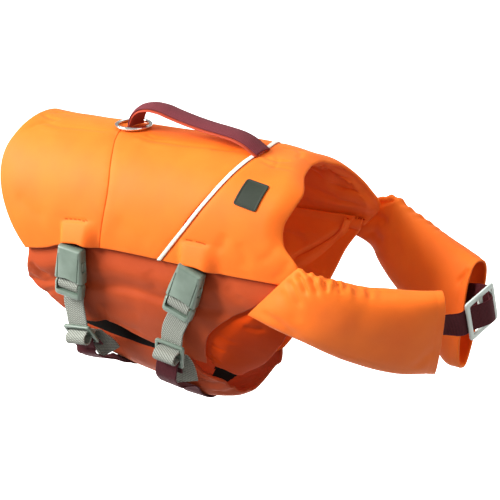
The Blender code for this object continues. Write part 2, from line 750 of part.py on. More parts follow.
def build_neck_strap(group, cutters):
    """The slide and the strap that runs through it, sewn into the open end of each float."""
    slide_centre = np.array((345.0, 0.5, -119.0))
    across = np.array((0.32, 0.83, 0.42))
    across /= np.linalg.norm(across)
    place = frame_at("slide_place", group, slide_centre, across, (0.32, 0.26, -0.91))
    frame = block("neck_slide", group, slide_plastic(), (SLIDE_LENGTH, SLIDE_THICK, SLIDE_WIDTH), (0.0, 0.0, 0.0),
                  1.0)
    for side in (-1.0, 1.0):
        carve(frame, cutters, (11.4, SLIDE_THICK + 4.0, 26.4), (side * 8.2, 0.0, 0.0))
    frame.parent = place
    bpy.context.view_layer.update()
    out = np.array(place.matrix_world.to_3x3() @ Vector((0.0, -1.0, 0.0)))
    across = np.array(place.matrix_world.to_3x3() @ Vector((1.0, 0.0, 0.0)))
    up = np.array(place.matrix_world.to_3x3() @ Vector((0.0, 0.0, 1.0)))
    behind = -(SLIDE_THICK + WEBBING_THICK) / 2 - 0.5
    weave = [(-19.0, behind - 0.4), (-14.5, behind), (-8.2, 0.0), (-2.6, -behind), (2.6, -behind), (8.2, 0.0),
             (14.5, behind), (19.0, behind - 0.4)]
    sewn_near = [np.array((304.0, -43.0, -128.0)), np.array((315.0, -34.0, -127.5))]
    sewn_far = [np.array((333.0, 28.0, -116.0)), np.array((323.0, 36.0, -121.0)), np.array((314.0, 43.0, -125.0))]
    points = sewn_near + [slide_centre + across * a + out * b for a, b in weave] + sewn_far
    turns = [mouth_across(NEAR)] * len(sewn_near) + [up] * len(weave) + [mouth_across(FAR)] * len(sewn_far)
    ribbon("neck_strap", group, burgundy_webbing(), points, turns, fine=3)


def main():
    for old in list(bpy.data.objects):
        bpy.data.objects.remove(old, do_unlink=True)
    scene = bpy.context.scene
    group = collection(NAME, scene)
    cutters = collection("cutters", scene)
    build_back(group)
    build_piping(group)
    build_label(group)
    build_belly(group)
    for side, word in ((NEAR, "near"), (FAR, "far")):
        build_flap("side_flap_" + word, group, side)
        build_gusset("front_gusset_" + word, group, side)
        build_float("neck_float_" + word, group, side)
    for index, strap in enumerate(STRAPS, start=1):
        build_buckle(index, strap, group, cutters)
        build_adjuster(index, strap, group, cutters)
        build_straps(index, strap, group)
        build_belly_strap(index, strap, group)
    build_handle(group)
    build_ring(group)
    build_neck_strap(group, cutters)


main()
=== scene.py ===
"""The dog life jacket with its real cloth, webbing, plastic and metal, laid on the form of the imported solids.

The origin is at the inner top centre of the back. +X points to the neck, +Y to the wearer's left (the far
side) and +Z up. Sizes are in millimetres, and MM turns them into metres. A place on the cloth is given by x
and by the girth: the distance round the section from the ridge of the back, negative on the near side.
"""

import math

import bmesh
import bpy
import numpy as np
from mathutils import Matrix, Vector


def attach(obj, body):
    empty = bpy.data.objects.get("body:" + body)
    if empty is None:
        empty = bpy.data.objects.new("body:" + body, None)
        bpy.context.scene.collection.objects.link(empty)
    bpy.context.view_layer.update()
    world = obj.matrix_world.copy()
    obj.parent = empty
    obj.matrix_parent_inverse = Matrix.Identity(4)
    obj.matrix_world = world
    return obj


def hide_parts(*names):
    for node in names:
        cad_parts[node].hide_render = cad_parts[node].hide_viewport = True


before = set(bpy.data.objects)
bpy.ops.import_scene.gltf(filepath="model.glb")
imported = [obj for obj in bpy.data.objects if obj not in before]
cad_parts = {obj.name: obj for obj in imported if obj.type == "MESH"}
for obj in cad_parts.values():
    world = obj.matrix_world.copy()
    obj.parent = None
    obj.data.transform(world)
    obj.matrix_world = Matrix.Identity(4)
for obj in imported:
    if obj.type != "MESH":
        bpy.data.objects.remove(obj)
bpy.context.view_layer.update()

MM = 0.001
NEAR = -1.0
FAR = 1.0

# Cloth and webbing
LAY_GAP = 0.3
BACK_FOAM = 12.0
FLAP_FOAM = 9.0
BELLY_FOAM = 7.0
HEM_THICK = 3.2
FLAP_HEM_THICK = 2.6
GUSSET_THICK = 3.0
WEBBING_WIDTH = 25.0
WEBBING_THICK = 1.8
LINING_WIDTH = 29.0
LINING_THICK = 1.2
PIPING_WIDTH = 5.8
PIPING_THICK = 3.0
LABEL_SIZE = (22, 28)
LABEL_THICK = 0.9
CELL = 1.7              # size of a cell of the cloth
FINE_CELL = 1.3         # and of the gussets
HEM_COVER = 9           # how far the orange hem covers the top of the flaps

# Hardware
RING_RADIUS = 18.0
RING_WIRE = 2.0
BUCKLE_WIDTH = 32.0
BUCKLE_THICK = 10.5
SOCKET_LENGTH = 35.0
PLUG_LENGTH = 19.0
LOCK_WIDTH = 34.0
LOCK_LENGTH = 27.0
LOCK_THICK = 3.6
SLIDE_WIDTH = 40.0
SLIDE_LENGTH = 48.0
SLIDE_THICK = 3.0

# The form of the jacket, in sections from the tail to the neck
FORM = (
    # x, ridge, half width, widest height, bottom, upper roundness, lower roundness
    (-180, 17, 85, -106, -236, 2.15, 1.90),
    (-130, 13.5, 88, -103, -248, 2.20, 1.85),
    (-70, 13, 88.5, -100, -260, 2.25, 1.80),
    (0, 12.6, 88.5, -99, -274, 2.30, 1.80),
    (55, 12.2, 89, -99, -281, 2.40, 1.80),
    (95, 11, 90, -99, -268, 2.60, 1.75),
    (125, 9, 91, -99, -240, 2.70, 1.75),
    (155, 8.5, 91, -99, -220, 2.70, 1.80),
    (205, 11, 90, -99, -196, 2.70, 1.90),
)

# Outlines. A share runs from 0 at the ridge to 1 at the orange hem.
HEM_LINE = ((-180, -117), (-127, -109), (-100, -103.5), (-84, -97.5), (-64, -94), (-44, -92.5),
            (-20, -91), (60, -91.5), (205, -89))                       # x, height
TAIL_EDGE = ((0, -159), (0.13, -159.5), (0.26, -163), (0.38, -167.2), (0.48, -167.4), (0.58, -164.4),
             (0.68, -159), (0.81, -148.4), (1, -127.6))
CROSS_SEAM = ((0, -50), (0.15, -48), (0.35, -38), (0.55, -30), (1, -33))
PIPING_LINE = ((0, 111), (0.11, 109.5), (0.33, 102.5), (0.49, 91.5), (0.66, 75), (1, 37.5))
NECK_EDGE_NEAR = ((0, 163), (0.21, 169), (0.39, 178), (0.51, 174), (0.64, 168.5), (0.75, 172),
                  (0.87, 189), (1, 185))
NECK_EDGE_FAR = ((0, 163), (0.21, 169), (0.39, 178), (0.51, 186), (0.64, 197), (0.78, 207),
                 (0.87, 203), (1, 187))
FLAP_TAIL = ((0, -129), (0.5, -131.5), (1, -137))
FLAP_HEM = ((-140, -148), (-135, -151), (-114, -165), (-94, -180), (-76, -190), (-60, -190),
            (-42, -184.5), (-26, -187), (-8, -193), (15, -198.5), (40, -203), (76, -208),
            (114, -216))                                                     # x, height
FAR_HEM = ((-140, -148), (-135, -151), (-114, -165), (-94, -180), (-68, -195),
           (-40, -200), (11, -202), (76, -209), (114, -216))     # x, height
FOLD_LINE = ((-209, 77), (-190, 80), (-166, 89), (-142, 113), (-126, 136), (-90, 171),
             (-78, 178))                                                     # height, x
GUSSET_EDGE = ((-230, 107), (-224, 114), (-216, 126), (-201, 140), (-181, 155),
               (-160, 169), (-146, 172), (-114, 178), (-90, 184))    # height, x
GUSSET_EDGE_FAR = ((-236, 115), (-229, 123.5), (-216, 132), (-201, 140.5), (-181, 149),
                   (-146, 160), (-114, 172), (-86, 189))             # height, x
BELLY_TAIL = ((-1, -108), (-0.5, -92), (0, -84), (0.5, -88), (1, -98))   # share across, x
BELLY_FRONT = ((-1, 80), (-0.72, 90), (-0.4, 101), (0, 112), (0.45, 118), (0.75, 115), (1, 103))
BELLY_NEAR_EDGE = ((-110, -205), (-80, -213), (-55, -218), (-20, -219), (20, -220),
                   (45, -230), (66, -245), (90, -256))                  # x, height
BELLY_FAR_EDGE = ((-110, -169), (-94, -181), (-68, -195.6), (-40, -200.6), (11, -202.8),
                  (40, -206.6), (60, -209), (72, -211.5), (84, -215), (95, -219),
                  (106, -228), (122, -241))

# The straps: the middle line of each, as x against height, from the hem down to the belly
STRAPS = (
    ((-98.6, -63), (-151, -69), (-190, -66), (-262, -54)),
    ((-97.2, 78.8), (-140, 63.4), (-180, 49.5), (-215, 44.5), (-281, 42)),
)
STRAP_LEAVES = (-252, -254)     # the height at which each strap leaves the belly

# The two neck floats: top and bottom edge, thickness and share of the length
FLOAT_NEAR = (
    # share, top x, y, z, bottom x, y, z, thickness
    (0.00, 192, -93.9, -66, 140, -93.9, -126, 5),
    (0.10, 205, -98, -66, 163, -97, -129, 18),
    (0.28, 229, -95, -73, 196, -89, -138, 36),
    (0.52, 259, -82, -81, 233, -72, -156.5, 43),
    (0.78, 292, -65, -83.5, 275, -50, -172.5, 42),
    (1.00, 318, -50, -84, 305, -27, -178.5, 34),
)
FLOAT_FAR = (
    (0.00, 196, 93.9, -58, 173, 93.9, -104, 5),
    (0.10, 214, 98, -54, 190, 96, -110, 18),
    (0.28, 239, 93, -65, 210, 87, -128, 34),
    (0.52, 271, 80, -75, 243, 70, -152, 42),
    (0.78, 303, 64, -84, 287, 49, -186, 42),
    (0.90, 315, 57, -86, 301, 38, -200, 38),
    (1.00, 325, 50, -87, 315, 27, -196, 34),
)
FLOAT_ROUNDNESS = 2.7
FLOAT_WALL = 2.4

HANDLE_PATH = ((-45, 0, 13.8), (-44, 0, 20), (-40, 0, 29.5), (-31.5, 0, 37.4), (-19, 0, 41),
               (-5, 0, 40.4), (11, -0.5, 36.6), (30, -1.5, 32.6), (54, -3, 29), (71, -4.5, 27.4),
               (88, -6, 25), (102, -7.5, 20.2), (111, -8.5, 15), (116, -9, 12.2))


# Curves and noise


def curve(rows):
    """The smooth curve through a table of (place, value) rows."""
    rows = np.asarray(rows, dtype=float)
    places = rows[:, 0]
    values = rows[:, 1:]
    slopes = np.gradient(values, places, axis=0)

    def at(value):
        value = np.clip(np.asarray(value, dtype=float), places[0], places[-1])
        k = np.clip(np.searchsorted(places, value, side="right") - 1, 0, len(places) - 2)
        span = np.asarray(places[k + 1] - places[k])[..., None]
        t = np.asarray(value - places[k])[..., None] / span
        start = (2 * t**3 - 3 * t**2 + 1) * values[k] + (t**3 - 2 * t**2 + t) * span * slopes[k]
        end = (3 * t**2 - 2 * t**3) * values[k + 1] + (t**3 - t**2) * span * slopes[k + 1]
        found = start + end
        return found[..., 0] if found.shape[-1] == 1 else found

    return at


def mix(a, b, share):
    return a + (b - a) * share


def ease(value):
    """0 below 0, 1 above 1, and a smooth step between."""
    value = np.clip(value, 0.0, 1.0)
    return value * value * (3.0 - 2.0 * value)


def hump(value, width):
    """A soft ridge, 1 where the value is 0."""
    return np.exp(-((value / width) ** 2))


def unit(vectors):
    vectors = np.asarray(vectors, dtype=float)
    return vectors / np.linalg.norm(vectors, axis=-1, keepdims=True)


def noise(a, b, seed):
    """Smooth noise from -1 to 1, with one lattice point for each unit of a and b."""
    lattice = np.random.RandomState(seed).uniform(-1.0, 1.0, (32, 32))
    a = np.asarray(a, dtype=float)
    b = np.asarray(b, dtype=float)
    i = np.floor(a).astype(int)
    j = np.floor(b).astype(int)
    s = ease(a - i)
    t = ease(b - j)
    low = mix(lattice[i % 32, j % 32], lattice[(i + 1) % 32, j % 32], s)
    high = mix(lattice[i % 32, (j + 1) % 32], lattice[(i + 1) % 32, (j + 1) % 32], s)
    return mix(low, high, t)


def lengths_along(points, axis=0):
    """The length of the way to each point, along one axis of a grid of points."""
    stretches = np.linalg.norm(np.diff(points, axis=axis), axis=-1)
    return np.insert(np.cumsum(stretches, axis=axis), 0, 0.0, axis=axis)


CREASE_FADE = 0.25          # share of its length over which each end of a crease fades


def crease(a, b, path, width):
    """A soft trough along a path of (a, b) points, 1 along its middle and fading out at both ends."""
    path = np.reshape(np.asarray(path, dtype=float), (-1, 2))
    lengths = lengths_along(path)
    best = np.full(np.shape(a), 1e9)
    along = np.zeros(np.shape(a))
    for k in range(len(path) - 1):
        step = path[k + 1] - path[k]
        share = ((a - path[k][0]) * step[0] + (b - path[k][1]) * step[1]) / step.dot(step)
        share = np.clip(share, 0.0, 1.0)
        far = np.hypot(a - path[k][0] - share * step[0], b - path[k][1] - share * step[1])
        closer = far < best
        best = np.where(closer, far, best)
        along = np.where(closer, (lengths[k] + share * (lengths[k + 1] - lengths[k])) / lengths[-1], along)
    ends = ease(along / CREASE_FADE) * ease((1.0 - along) / CREASE_FADE)
    return hump(best, width) * (0.12 + 0.88 * ends)


def pressed(out, a, b, rows, share=1.0):
    """A relief with the creases of a table pressed into it."""
    for width, depth, *path in rows:
        out = out - depth * crease(a, b, path, width) * share
    return out


# The form

GRID_X = np.arange(-186.0, 216.0, 3.0)
GRID_GIRTH = np.arange(0.0, 640.0, 1.5)
GRID_HEIGHT = np.arange(-290.0, 22.0, 1.5)


def lay_form():
    """The form's y and z by x and girth, the girth by x and height, and the whole girth."""
    form = curve(FORM)
    y_rows = []
    z_rows = []
    girth_rows = []
    whole = []
    turn = np.linspace(0.0, math.pi, 721)
    above = turn <= math.pi / 2
    for x in GRID_X:
        ridge, half, widest, bottom, upper, lower = form(x)
        power = 2.0 / np.where(above, upper, lower)
        rise = np.where(above, ridge - widest, widest - bottom)
        y = half * np.clip(np.sin(turn), 0.0, 1.0) ** power
        z = widest + rise * np.sign(np.cos(turn)) * np.abs(np.cos(turn)) ** power
        lengths = lengths_along(np.column_stack((y, z)))
        folded = np.minimum(GRID_GIRTH, 2.0 * lengths[-1] - GRID_GIRTH)
        y_rows.append(np.interp(folded, lengths, y) * np.where(GRID_GIRTH > lengths[-1], -1.0, 1.0))
        z_rows.append(np.interp(folded, lengths, z))
        girth_rows.append(np.interp(-GRID_HEIGHT, -z, lengths))
        whole.append(2.0 * lengths[-1])
    return np.array(y_rows), np.array(z_rows), np.array(girth_rows), np.array(whole)


FORM_Y, FORM_Z, FORM_GIRTH, WHOLE_GIRTH = lay_form()


def look_up(grid, places, values, a, b):
    """The value of a grid between its points."""
    i = (np.clip(a, places[0], places[-1]) - places[0]) / (places[1] - places[0])
    j = (np.clip(b, values[0], values[-1]) - values[0]) / (values[1] - values[0])
    p = np.minimum(i.astype(int), len(places) - 2)
    q = np.minimum(j.astype(int), len(values) - 2)
    low = mix(grid[p, q], grid[p + 1, q], i - p)
    high = mix(grid[p, q + 1], grid[p + 1, q + 1], i - p)
    return mix(low, high, j - q)


def form_point(x, girth):
    x, girth = np.broadcast_arrays(np.asarray(x, dtype=float), np.asarray(girth, dtype=float))
    side = np.where(girth < 0.0, -1.0, 1.0)
    y = side * look_up(FORM_Y, GRID_X, GRID_GIRTH, x, np.abs(girth))
    z = look_up(FORM_Z, GRID_X, GRID_GIRTH, x, np.abs(girth))
    return np.stack((x, y, z), axis=-1)


def girth_at(x, height):
    x, height = np.broadcast_arrays(np.asarray(x, dtype=float), np.asarray(height, dtype=float))
    return look_up(FORM_GIRTH, GRID_X, GRID_HEIGHT, x, height)


def whole_girth(x):
    return np.interp(x, GRID_X, WHOLE_GIRTH)


def form_normal(x, girth):
    step = 3.0
    ahead = form_point(x + step, girth) - form_point(x - step, girth)
    around = form_point(x, girth + step) - form_point(x, girth - step)
    return unit(np.cross(ahead, around))


def on_form(x, girth, out):
    """Places on the form, moved out along its normal."""
    return form_point(x, girth) + form_normal(x, girth) * np.asarray(out)[..., None]


hem_height = curve(HEM_LINE)
tail_edge = curve(TAIL_EDGE)
cross_seam = curve(CROSS_SEAM)
piping_line = curve(PIPING_LINE)
neck_near = curve(NECK_EDGE_NEAR)
neck_far = curve(NECK_EDGE_FAR)
flap_tail = curve(FLAP_TAIL)
near_flap_hem = curve(FLAP_HEM)
far_flap_hem = curve(FAR_HEM)
fold_x = curve(FOLD_LINE)
belly_tail = curve(BELLY_TAIL)
belly_front = curve(BELLY_FRONT)
belly_near = curve(BELLY_NEAR_EDGE)
belly_far = curve(BELLY_FAR_EDGE)


def hem_girth(x):
    return girth_at(x, hem_height(x))


def strap_x(strap, height):
    return curve(sorted(strap))(height)


# Meshes

EDGE_STEPS = (0, 0.12, 0.45, 0.95, 1.6, 2.5, 3.7)


def steps(length, cell=CELL):
    """Shares of a length in even cells, with finer ones at both ends."""
    edge = np.array(EDGE_STEPS) / length
    count = max(int((length - 2.0 * EDGE_STEPS[-1]) / cell), 2)
    middle = np.linspace(edge[-1], 1.0 - edge[-1], count + 1)[1:-1]
    return np.concatenate((edge, middle, 1.0 - edge[::-1]))


def linked(name, data):
    """A new object in the scene."""
    made = bpy.data.objects.new(name, data)
    bpy.context.scene.collection.objects.link(made)
    return made


def add_piece(name, points, faces, finish, uvs=None, smooth=True):
    mesh = bpy.data.meshes.new(name)
    mesh.from_pydata((np.asarray(points) * MM).tolist(), [], [list(map(int, face)) for face in faces])
    mesh.validate()
    mesh.materials.append(finish)
    if uvs is not None:
        layer = mesh.uv_layers.new(name="UVMap")
        corners = np.empty(len(mesh.loops), dtype=np.int32)
        mesh.loops.foreach_get("vertex_index", corners)
        layer.data.foreach_set("uv", (np.asarray(uvs)[corners] * MM).ravel())
    if smooth:
        mesh.shade_smooth()
    return linked(name, mesh)


def grid_faces(rows, columns):
    i, j = np.meshgrid(np.arange(rows - 1), np.arange(columns - 1), indexing="ij")
    first = (i * columns + j).ravel()
    return np.column_stack((first, first + columns, first + columns + 1, first + 1))


ROUND_EDGES = (2.0, 2.0, 2.0, 2.0)


def shell(name, outer, thick, finish, uvs, edges=ROUND_EDGES, inside=None):
    """A closed sheet from the grid of its outer side.

    The edges say how square the rim is at the start and end of the rows and of the columns: 2 is round.
    """
    rows, columns = outer.shape[:2]
    thick = np.broadcast_to(np.asarray(thick, dtype=float), (rows, columns))
    normal = unit(np.cross(np.gradient(outer, axis=0), np.gradient(outer, axis=1)))
    down = lengths_along(outer)
    over = lengths_along(outer, 1)
    gaps = np.stack((down, down[-1:] - down, over, over[:, -1:] - over))
    nearest = np.argmin(gaps, axis=0)
    gap = np.min(gaps, axis=0)
    power = np.asarray(edges)[nearest]
    half = thick / 2.0
    share = np.clip(1.0 - gap / half, 0.0, 1.0)
    inset = half * (1.0 - (1.0 - share**power) ** (1.0 / power))
    front = outer - normal * inset[..., None]
    back = outer - normal * (thick - inset)[..., None]
    number = np.arange(rows * columns).reshape(rows, columns)
    inner = number.copy()
    inner[1:-1, 1:-1] = rows * columns + np.arange((rows - 2) * (columns - 2)).reshape(rows - 2, columns - 2)
    points = np.vstack((front.reshape(-1, 3), back[1:-1, 1:-1].reshape(-1, 3)))
    faces = grid_faces(rows, columns)
    hidden = inner.ravel()[faces][:, ::-1]
    flat = np.vstack((uvs.reshape(-1, 2), uvs[1:-1, 1:-1].reshape(-1, 2)))
    piece = add_piece(name, points, np.vstack((faces, hidden)), finish, flat)
    if inside is not None:
        piece.data.materials.append(inside)
        piece.data.polygons.foreach_set("material_index", np.repeat((0, 1), len(faces)))
    return piece


def lay(name, x, girth, out, thick, finish, edges=ROUND_EDGES, inside=None):
    """A closed sheet laid on the form. Its outer side stands out from it."""
    return shell(name, on_form(x, girth, out), thick, finish, np.stack((x, girth), axis=-1), edges, inside)


# Materials


def linear(red, green, blue):
    """A colour given in the usual 0 to 255 steps, as light."""
    steps255 = np.array((red, green, blue)) / 255.0
    light = np.where(steps255 <= 0.04045, steps255 / 12.92, ((steps255 + 0.055) / 1.055) ** 2.4)
    return (*light.tolist(), 1.0)


WEAVE_PERIOD = 0.55         # from thread to thread of the cloth
WEBBING_PERIOD = 1.3        # from rib to rib of the burgundy webbing
STITCH_PERIOD = 1.5         # along each rib of the webbing


def connect(tree, node, inputs):
    """Sets each of the inputs to its value, or links it to the socket given."""
    for name, value in inputs.items():
        if isinstance(value, bpy.types.NodeSocket):
            tree.links.new(value, node.inputs[name])
        else:
            node.inputs[name].default_value = value


def add_node(tree, kind, inputs):
    node = tree.nodes.new(kind)
    connect(tree, node, inputs)
    return node


def add_ramp(tree, factor, stops):
    """A colour that runs between two (place, colour) stops."""
    node = add_node(tree, "ShaderNodeValToRGB", {"Fac": factor})
    for element, (place, colour) in zip(node.color_ramp.elements, stops):
        element.position = place
        element.color = colour
    return node.outputs["Color"]


class Finish:
    """A material and the few node calls that all of them use."""

    def __init__(self, name, roughness, metallic=0.0):
        self.made = bpy.data.materials.new(name)
        self.made.use_nodes = True
        self.tree = self.made.node_tree
        self.put({"Roughness": roughness, "Metallic": metallic})
        self.place = add_node(self.tree, "ShaderNodeTexCoord", {})

    def put(self, inputs):
        """Sets or links inputs of the material's shader."""
        connect(self.tree, self.tree.nodes["Principled BSDF"], inputs)

    def noise(self, scale, detail):
        inputs = {"Scale": scale, "Detail": detail, "Vector": self.place.outputs["Object"]}
        return add_node(self.tree, "ShaderNodeTexNoise", inputs).outputs["Fac"]

    def wave(self, period, direction, turn=0.0):
        """Even ribs over the UV map, a period in millimetres apart."""
        inputs = {"Rotation": (0.0, 0.0, turn), "Vector": self.place.outputs["UV"]}
        spin = add_node(self.tree, "ShaderNodeMapping", inputs)
        inputs = {"Scale": 2.0 * math.pi / (20.0 * period * MM), "Vector": spin.outputs["Vector"]}
        node = add_node(self.tree, "ShaderNodeTexWave", inputs)
        node.wave_type = "BANDS"
        node.bands_direction = direction
        return node.outputs["Fac"]

    def math(self, kind, a, b):
        node = add_node(self.tree, "ShaderNodeMath", {0: a, 1: b})
        node.operation = kind
        return node.outputs["Value"]

    def colour(self, factor, low, shade, high, base):
        """The shade where the factor is low, and the base colour where it is high."""
        self.put({"Base Color": add_ramp(self.tree, factor, ((low, shade), (high, base)))})

    def bump(self, height, distance, strength):
        inputs = {"Strength": strength, "Distance": distance * MM, "Height": height}
        self.put({"Normal": add_node(self.tree, "ShaderNodeBump", inputs).outputs["Normal"]})

    def vary_roughness(self, factor, low, high):
        inputs = {"To Min": low, "To Max": high, "Value": factor}
        self.put({"Roughness": add_node(self.tree, "ShaderNodeMapRange", inputs).outputs["Result"]})


def cloth(name, base, shade, sheen=0.08, gloss=0.3):
    """Plain-woven coated nylon: a fine even weave, slightly uneven in colour, with a soft sheen."""
    finish = Finish(name, 0.62)
    drift = finish.noise(26.0, 4.0)
    yarn = finish.noise(2600.0, 2.0)
    mixed = finish.math("ADD", finish.math("MULTIPLY", drift, 0.7), finish.math("MULTIPLY", yarn, 0.3))
    finish.colour(mixed, 0.32, linear(*shade), 0.66, linear(*base))
    weave = finish.math("MULTIPLY", finish.wave(WEAVE_PERIOD, "X"), finish.wave(WEAVE_PERIOD, "Y"))
    coarse = finish.math("ADD", weave, finish.math("MULTIPLY", finish.noise(420.0, 3.0), 0.8))
    finish.bump(coarse, 0.05, 0.55)
    finish.vary_roughness(drift, 0.55, 0.7)
    finish.put({"Sheen Weight": sheen, "Sheen Roughness": 0.45, "Sheen Tint": (1.0, 0.72, 0.5, 1.0)})
    finish.put({"Specular IOR Level": gloss})
    return finish.made


def webbing(name, base, shade, period=WEBBING_PERIOD, slant=0.0, depth=0.2):
    """Woven webbing, with ribs across it broken up into short stitches."""
    finish = Finish(name, 0.72)
    ribs = finish.wave(period, "X", slant)
    ends = finish.wave(STITCH_PERIOD, "Y")
    weave = finish.math("ADD", ribs, finish.math("MULTIPLY", ends, 0.45))
    fuzz = finish.noise(1500.0, 2.0)
    mixed = finish.math("ADD", finish.math("MULTIPLY", weave, 0.5), finish.math("MULTIPLY", fuzz, 0.45))
    # The colour follows the rib and stitch waves that also drive the bump, darker where they sink: painted
    # shade between the ribs, over a random yarn tone
    finish.colour(mixed, 0.15, linear(*shade), 0.85, linear(*base))
    finish.bump(finish.math("ADD", weave, finish.math("MULTIPLY", fuzz, 0.4)), depth, 0.8)
    finish.put({"Sheen Weight": 0.03, "Sheen Roughness": 0.5, "Specular IOR Level": 0.2})
    return finish.made


def plastic(name, base, shade, roughness):
    """Moulded acetal with a fine spark-eroded texture."""
    finish = Finish(name, roughness)
    drift = finish.noise(60.0, 3.0)
    grain = finish.noise(3200.0, 2.0)
    finish.colour(drift, 0.3, linear(*shade), 0.7, linear(*base))
    finish.bump(grain, 0.02, 0.4)
    finish.vary_roughness(drift, roughness - 0.06, roughness + 0.08)
    return finish.made


def metal(name):
    finish = Finish(name, 0.22, 1.0)
    smear = finish.noise(90.0, 4.0)
    finish.colour(smear, 0.3, (0.62, 0.60, 0.57, 1.0), 0.7, (0.83, 0.82, 0.79, 1.0))
    finish.vary_roughness(smear, 0.16, 0.32)
    finish.bump(finish.noise(700.0, 3.0), 0.02, 0.3)
    return finish.made


ORANGE = cloth("orange_nylon", (246, 126, 38), (238, 114, 32))
RUST = cloth("rust_nylon", (188, 84, 42), (174, 74, 36), 0.07, 0.22)
DEEP = cloth("deep_orange_nylon", (222, 84, 20), (206, 72, 16), 0.0, 0.06)
LINING = cloth("lining_nylon", (190, 84, 56), (168, 66, 46))
# Near-black cloth that paints the shadow on belly faces lying deep inside the jacket
MESH = cloth("painted_shadow_black", (30, 28, 26), (20, 19, 18), 0.02, 0.1)
THREAD = cloth("tack_thread", (204, 104, 40), (184, 88, 32), 0.0, 0.1)
PIPING = cloth("reflective_tape", (244, 240, 232), (226, 220, 210), 0.1)
PATCH = cloth("patch_weave", (54, 62, 52), (38, 46, 38), 0.05)
# The handle's webbing is the burgundy webbing drawn lighter and redder: painted light from above on its top
LIT_HANDLE_WEAVE = webbing("handle_weave_painted_light", (136, 66, 74), (74, 34, 42))
BURGUNDY = webbing("burgundy_weave", (90, 34, 42), (44, 14, 20))
GREY_WEB = webbing("grey_weave", (174, 178, 170), (92, 96, 90), 2.1, 0.55, 0.16)
PLASTIC = plastic("buckle_acetal", (124, 140, 129), (108, 124, 113), 0.4)
SLIDE = plastic("slide_acetal", (212, 224, 220), (198, 212, 208), 0.35)
METAL = metal("ring_steel")


# Back panels

TAIL_RAMP = 26.0            # the foam grows to its full thickness over these, from each edge of the panels
SEAM_RAMP = 7.0
NECK_RAMP = 12.0
NECK_ROLL = 7.0             # how far the neck edge rolls inwards
FAR_SHOULDER_SINK = 4.2
POCKET_HEIGHT = 28.0        # of the pocket that the near hem makes over each buckle
POCKET_HALF = 14.5
POCKET_LIFT = 11.0
POCKET_RAISE = 5.0          # how much shorter the hem is over a buckle
TACK_HEIGHT = 27.0          # from the hem to the bar tack above a buckle
TACK_STEP = 5.1             # from stitch to stitch of a bar tack
TACK_STITCH = 3.4
TACK_THICK = 1.7


def pocket(x, above, strap):
    """The lift of the near hem over one buckle, steep on its tail side."""
    beside = x - strap[0][1] - 2.0 * (1.0 - above / POCKET_HEIGHT)
    left = ease((beside + POCKET_HALF + 5.0) / 7.0)
    right = ease((POCKET_HALF + 14.0 - beside) / 17.0)
    rise = np.clip(1.0 - above / POCKET_HEIGHT, 0.0, 1.0)
    return POCKET_LIFT * left * right * rise**0.8


def hem_raise(x):
    """How much shorter the near hem is over the buckles."""
    total = 0.0
    for strap in STRAPS:
        beside = x - strap[0][1]
        total = total + ease((beside + POCKET_HALF + 4.0) / 5.0) * ease((POCKET_HALF + 16.0 - beside) / 26.0)
    return POCKET_RAISE * total


def back_relief(x, girth):
    """How far the back's outer cloth stands out from the form."""
    reach = np.abs(girth)
    hem = hem_girth(x)
    above = hem - reach
    share = np.clip(reach / hem, 0.0, 1.0)
    near = girth < 0.0
    out = 0.7 * noise(x / 61.0 + 3.0, girth / 54.0, 11) + 0.3 * noise(x / 23.0, girth / 31.0, 12)
    out -= 0.5 * hump(x - cross_seam(share), 4.0) * (1.0 + 0.5 * noise(reach / 6.0, x * 0.0, 13))
    out -= 0.9 * hump(x - piping_line(share), 5.0)
    for strap in STRAPS:
        out += np.where(near, pocket(x, above, strap), 0.0)
        beside = np.abs(x - strap[0][1])
        tack = hump(above - TACK_HEIGHT, 1.3) * ease((POCKET_HALF + 1.0 - beside) / 3.0)
        out -= np.where(near, 1.5 * tack, 0.0)
    ahead = ease((x - 112.0) / 45.0)
    out -= FAR_SHOULDER_SINK * ahead * ease((girth - 12.0) / 30.0) * ease((150.0 - girth) / 40.0)
    return pressed(out, x, girth, BACK_CREASES)


BACK_CREASES = (
    # width, depth, then the x and girth of each point of its path; a ridge where the depth is negative
    (3, 1.1, -150, -23, -120, -26, -85, -23, -52, -20),
    (4, -0.7, -154, -30, -120, -34, -80, -30),
    (3.5, 1, -150, 24, -110, 27, -60, 21),
    (2.4, 1.4, -157, -8, -143, -14, -126, -15),
    (2.8, 1.2, -155, -40, -141, -24, -128, -20),
    (2.6, 1.2, -152, 2, -138, 8, -120, 4),
    (2.8, 1, -158, 30, -142, 20, -127, 17),
    (3, 1.2, -34, -19, -10, -24, 30, -24, 70, -21, 98, -17),
    (3.5, -0.8, -28, -28, 0, -33, 35, -32),
    (3.2, 1.1, -30, 20, 5, 25, 60, 23, 96, 18),
    (2.2, 1, -22, -14, -6, -19, 12, -17),
    (2.4, 1, 92, -12, 80, -20, 62, -26),
    (2.4, 1.2, 114, -14, 130, -20, 150, -16),
    (3, 1, 116, -24, 134, -31, 160, -33),
    (2.6, 0.9, 128, -8, 136, -22, 139, -40),
    (3, 1, 150, -6, 146, 10, 136, 24),
    (3, 1.1, 118, 16, 136, 24, 156, 30),
    (5, 1.3, 98, -137, 109, -128, 113, -114),
    (6, 1, 126, -120, 134, -132, 136, -148),
    (4, 0.9, 148, -138, 160, -128, 168, -114),
    (3, 1.1, 165, -152, 175, -141, 180, -128),
    (8, 0.8, -146, -112, -120, -128, -96, -134),
    (9, 0.8, -20, -120, 10, -132, 30, -140),
    (8, 0.8, -146, 110, -120, 125, -90, 132),
    (7, 0.9, -60, 138, -52, 120, -56, 100),
    (7, 1, 60, 140, 70, 122, 66, 104),
    (4.5, 1.8, 150, 80, 168, 92, 184, 96),
    (4.5, 1.4, 158, 118, 176, 112, 196, 118),
)


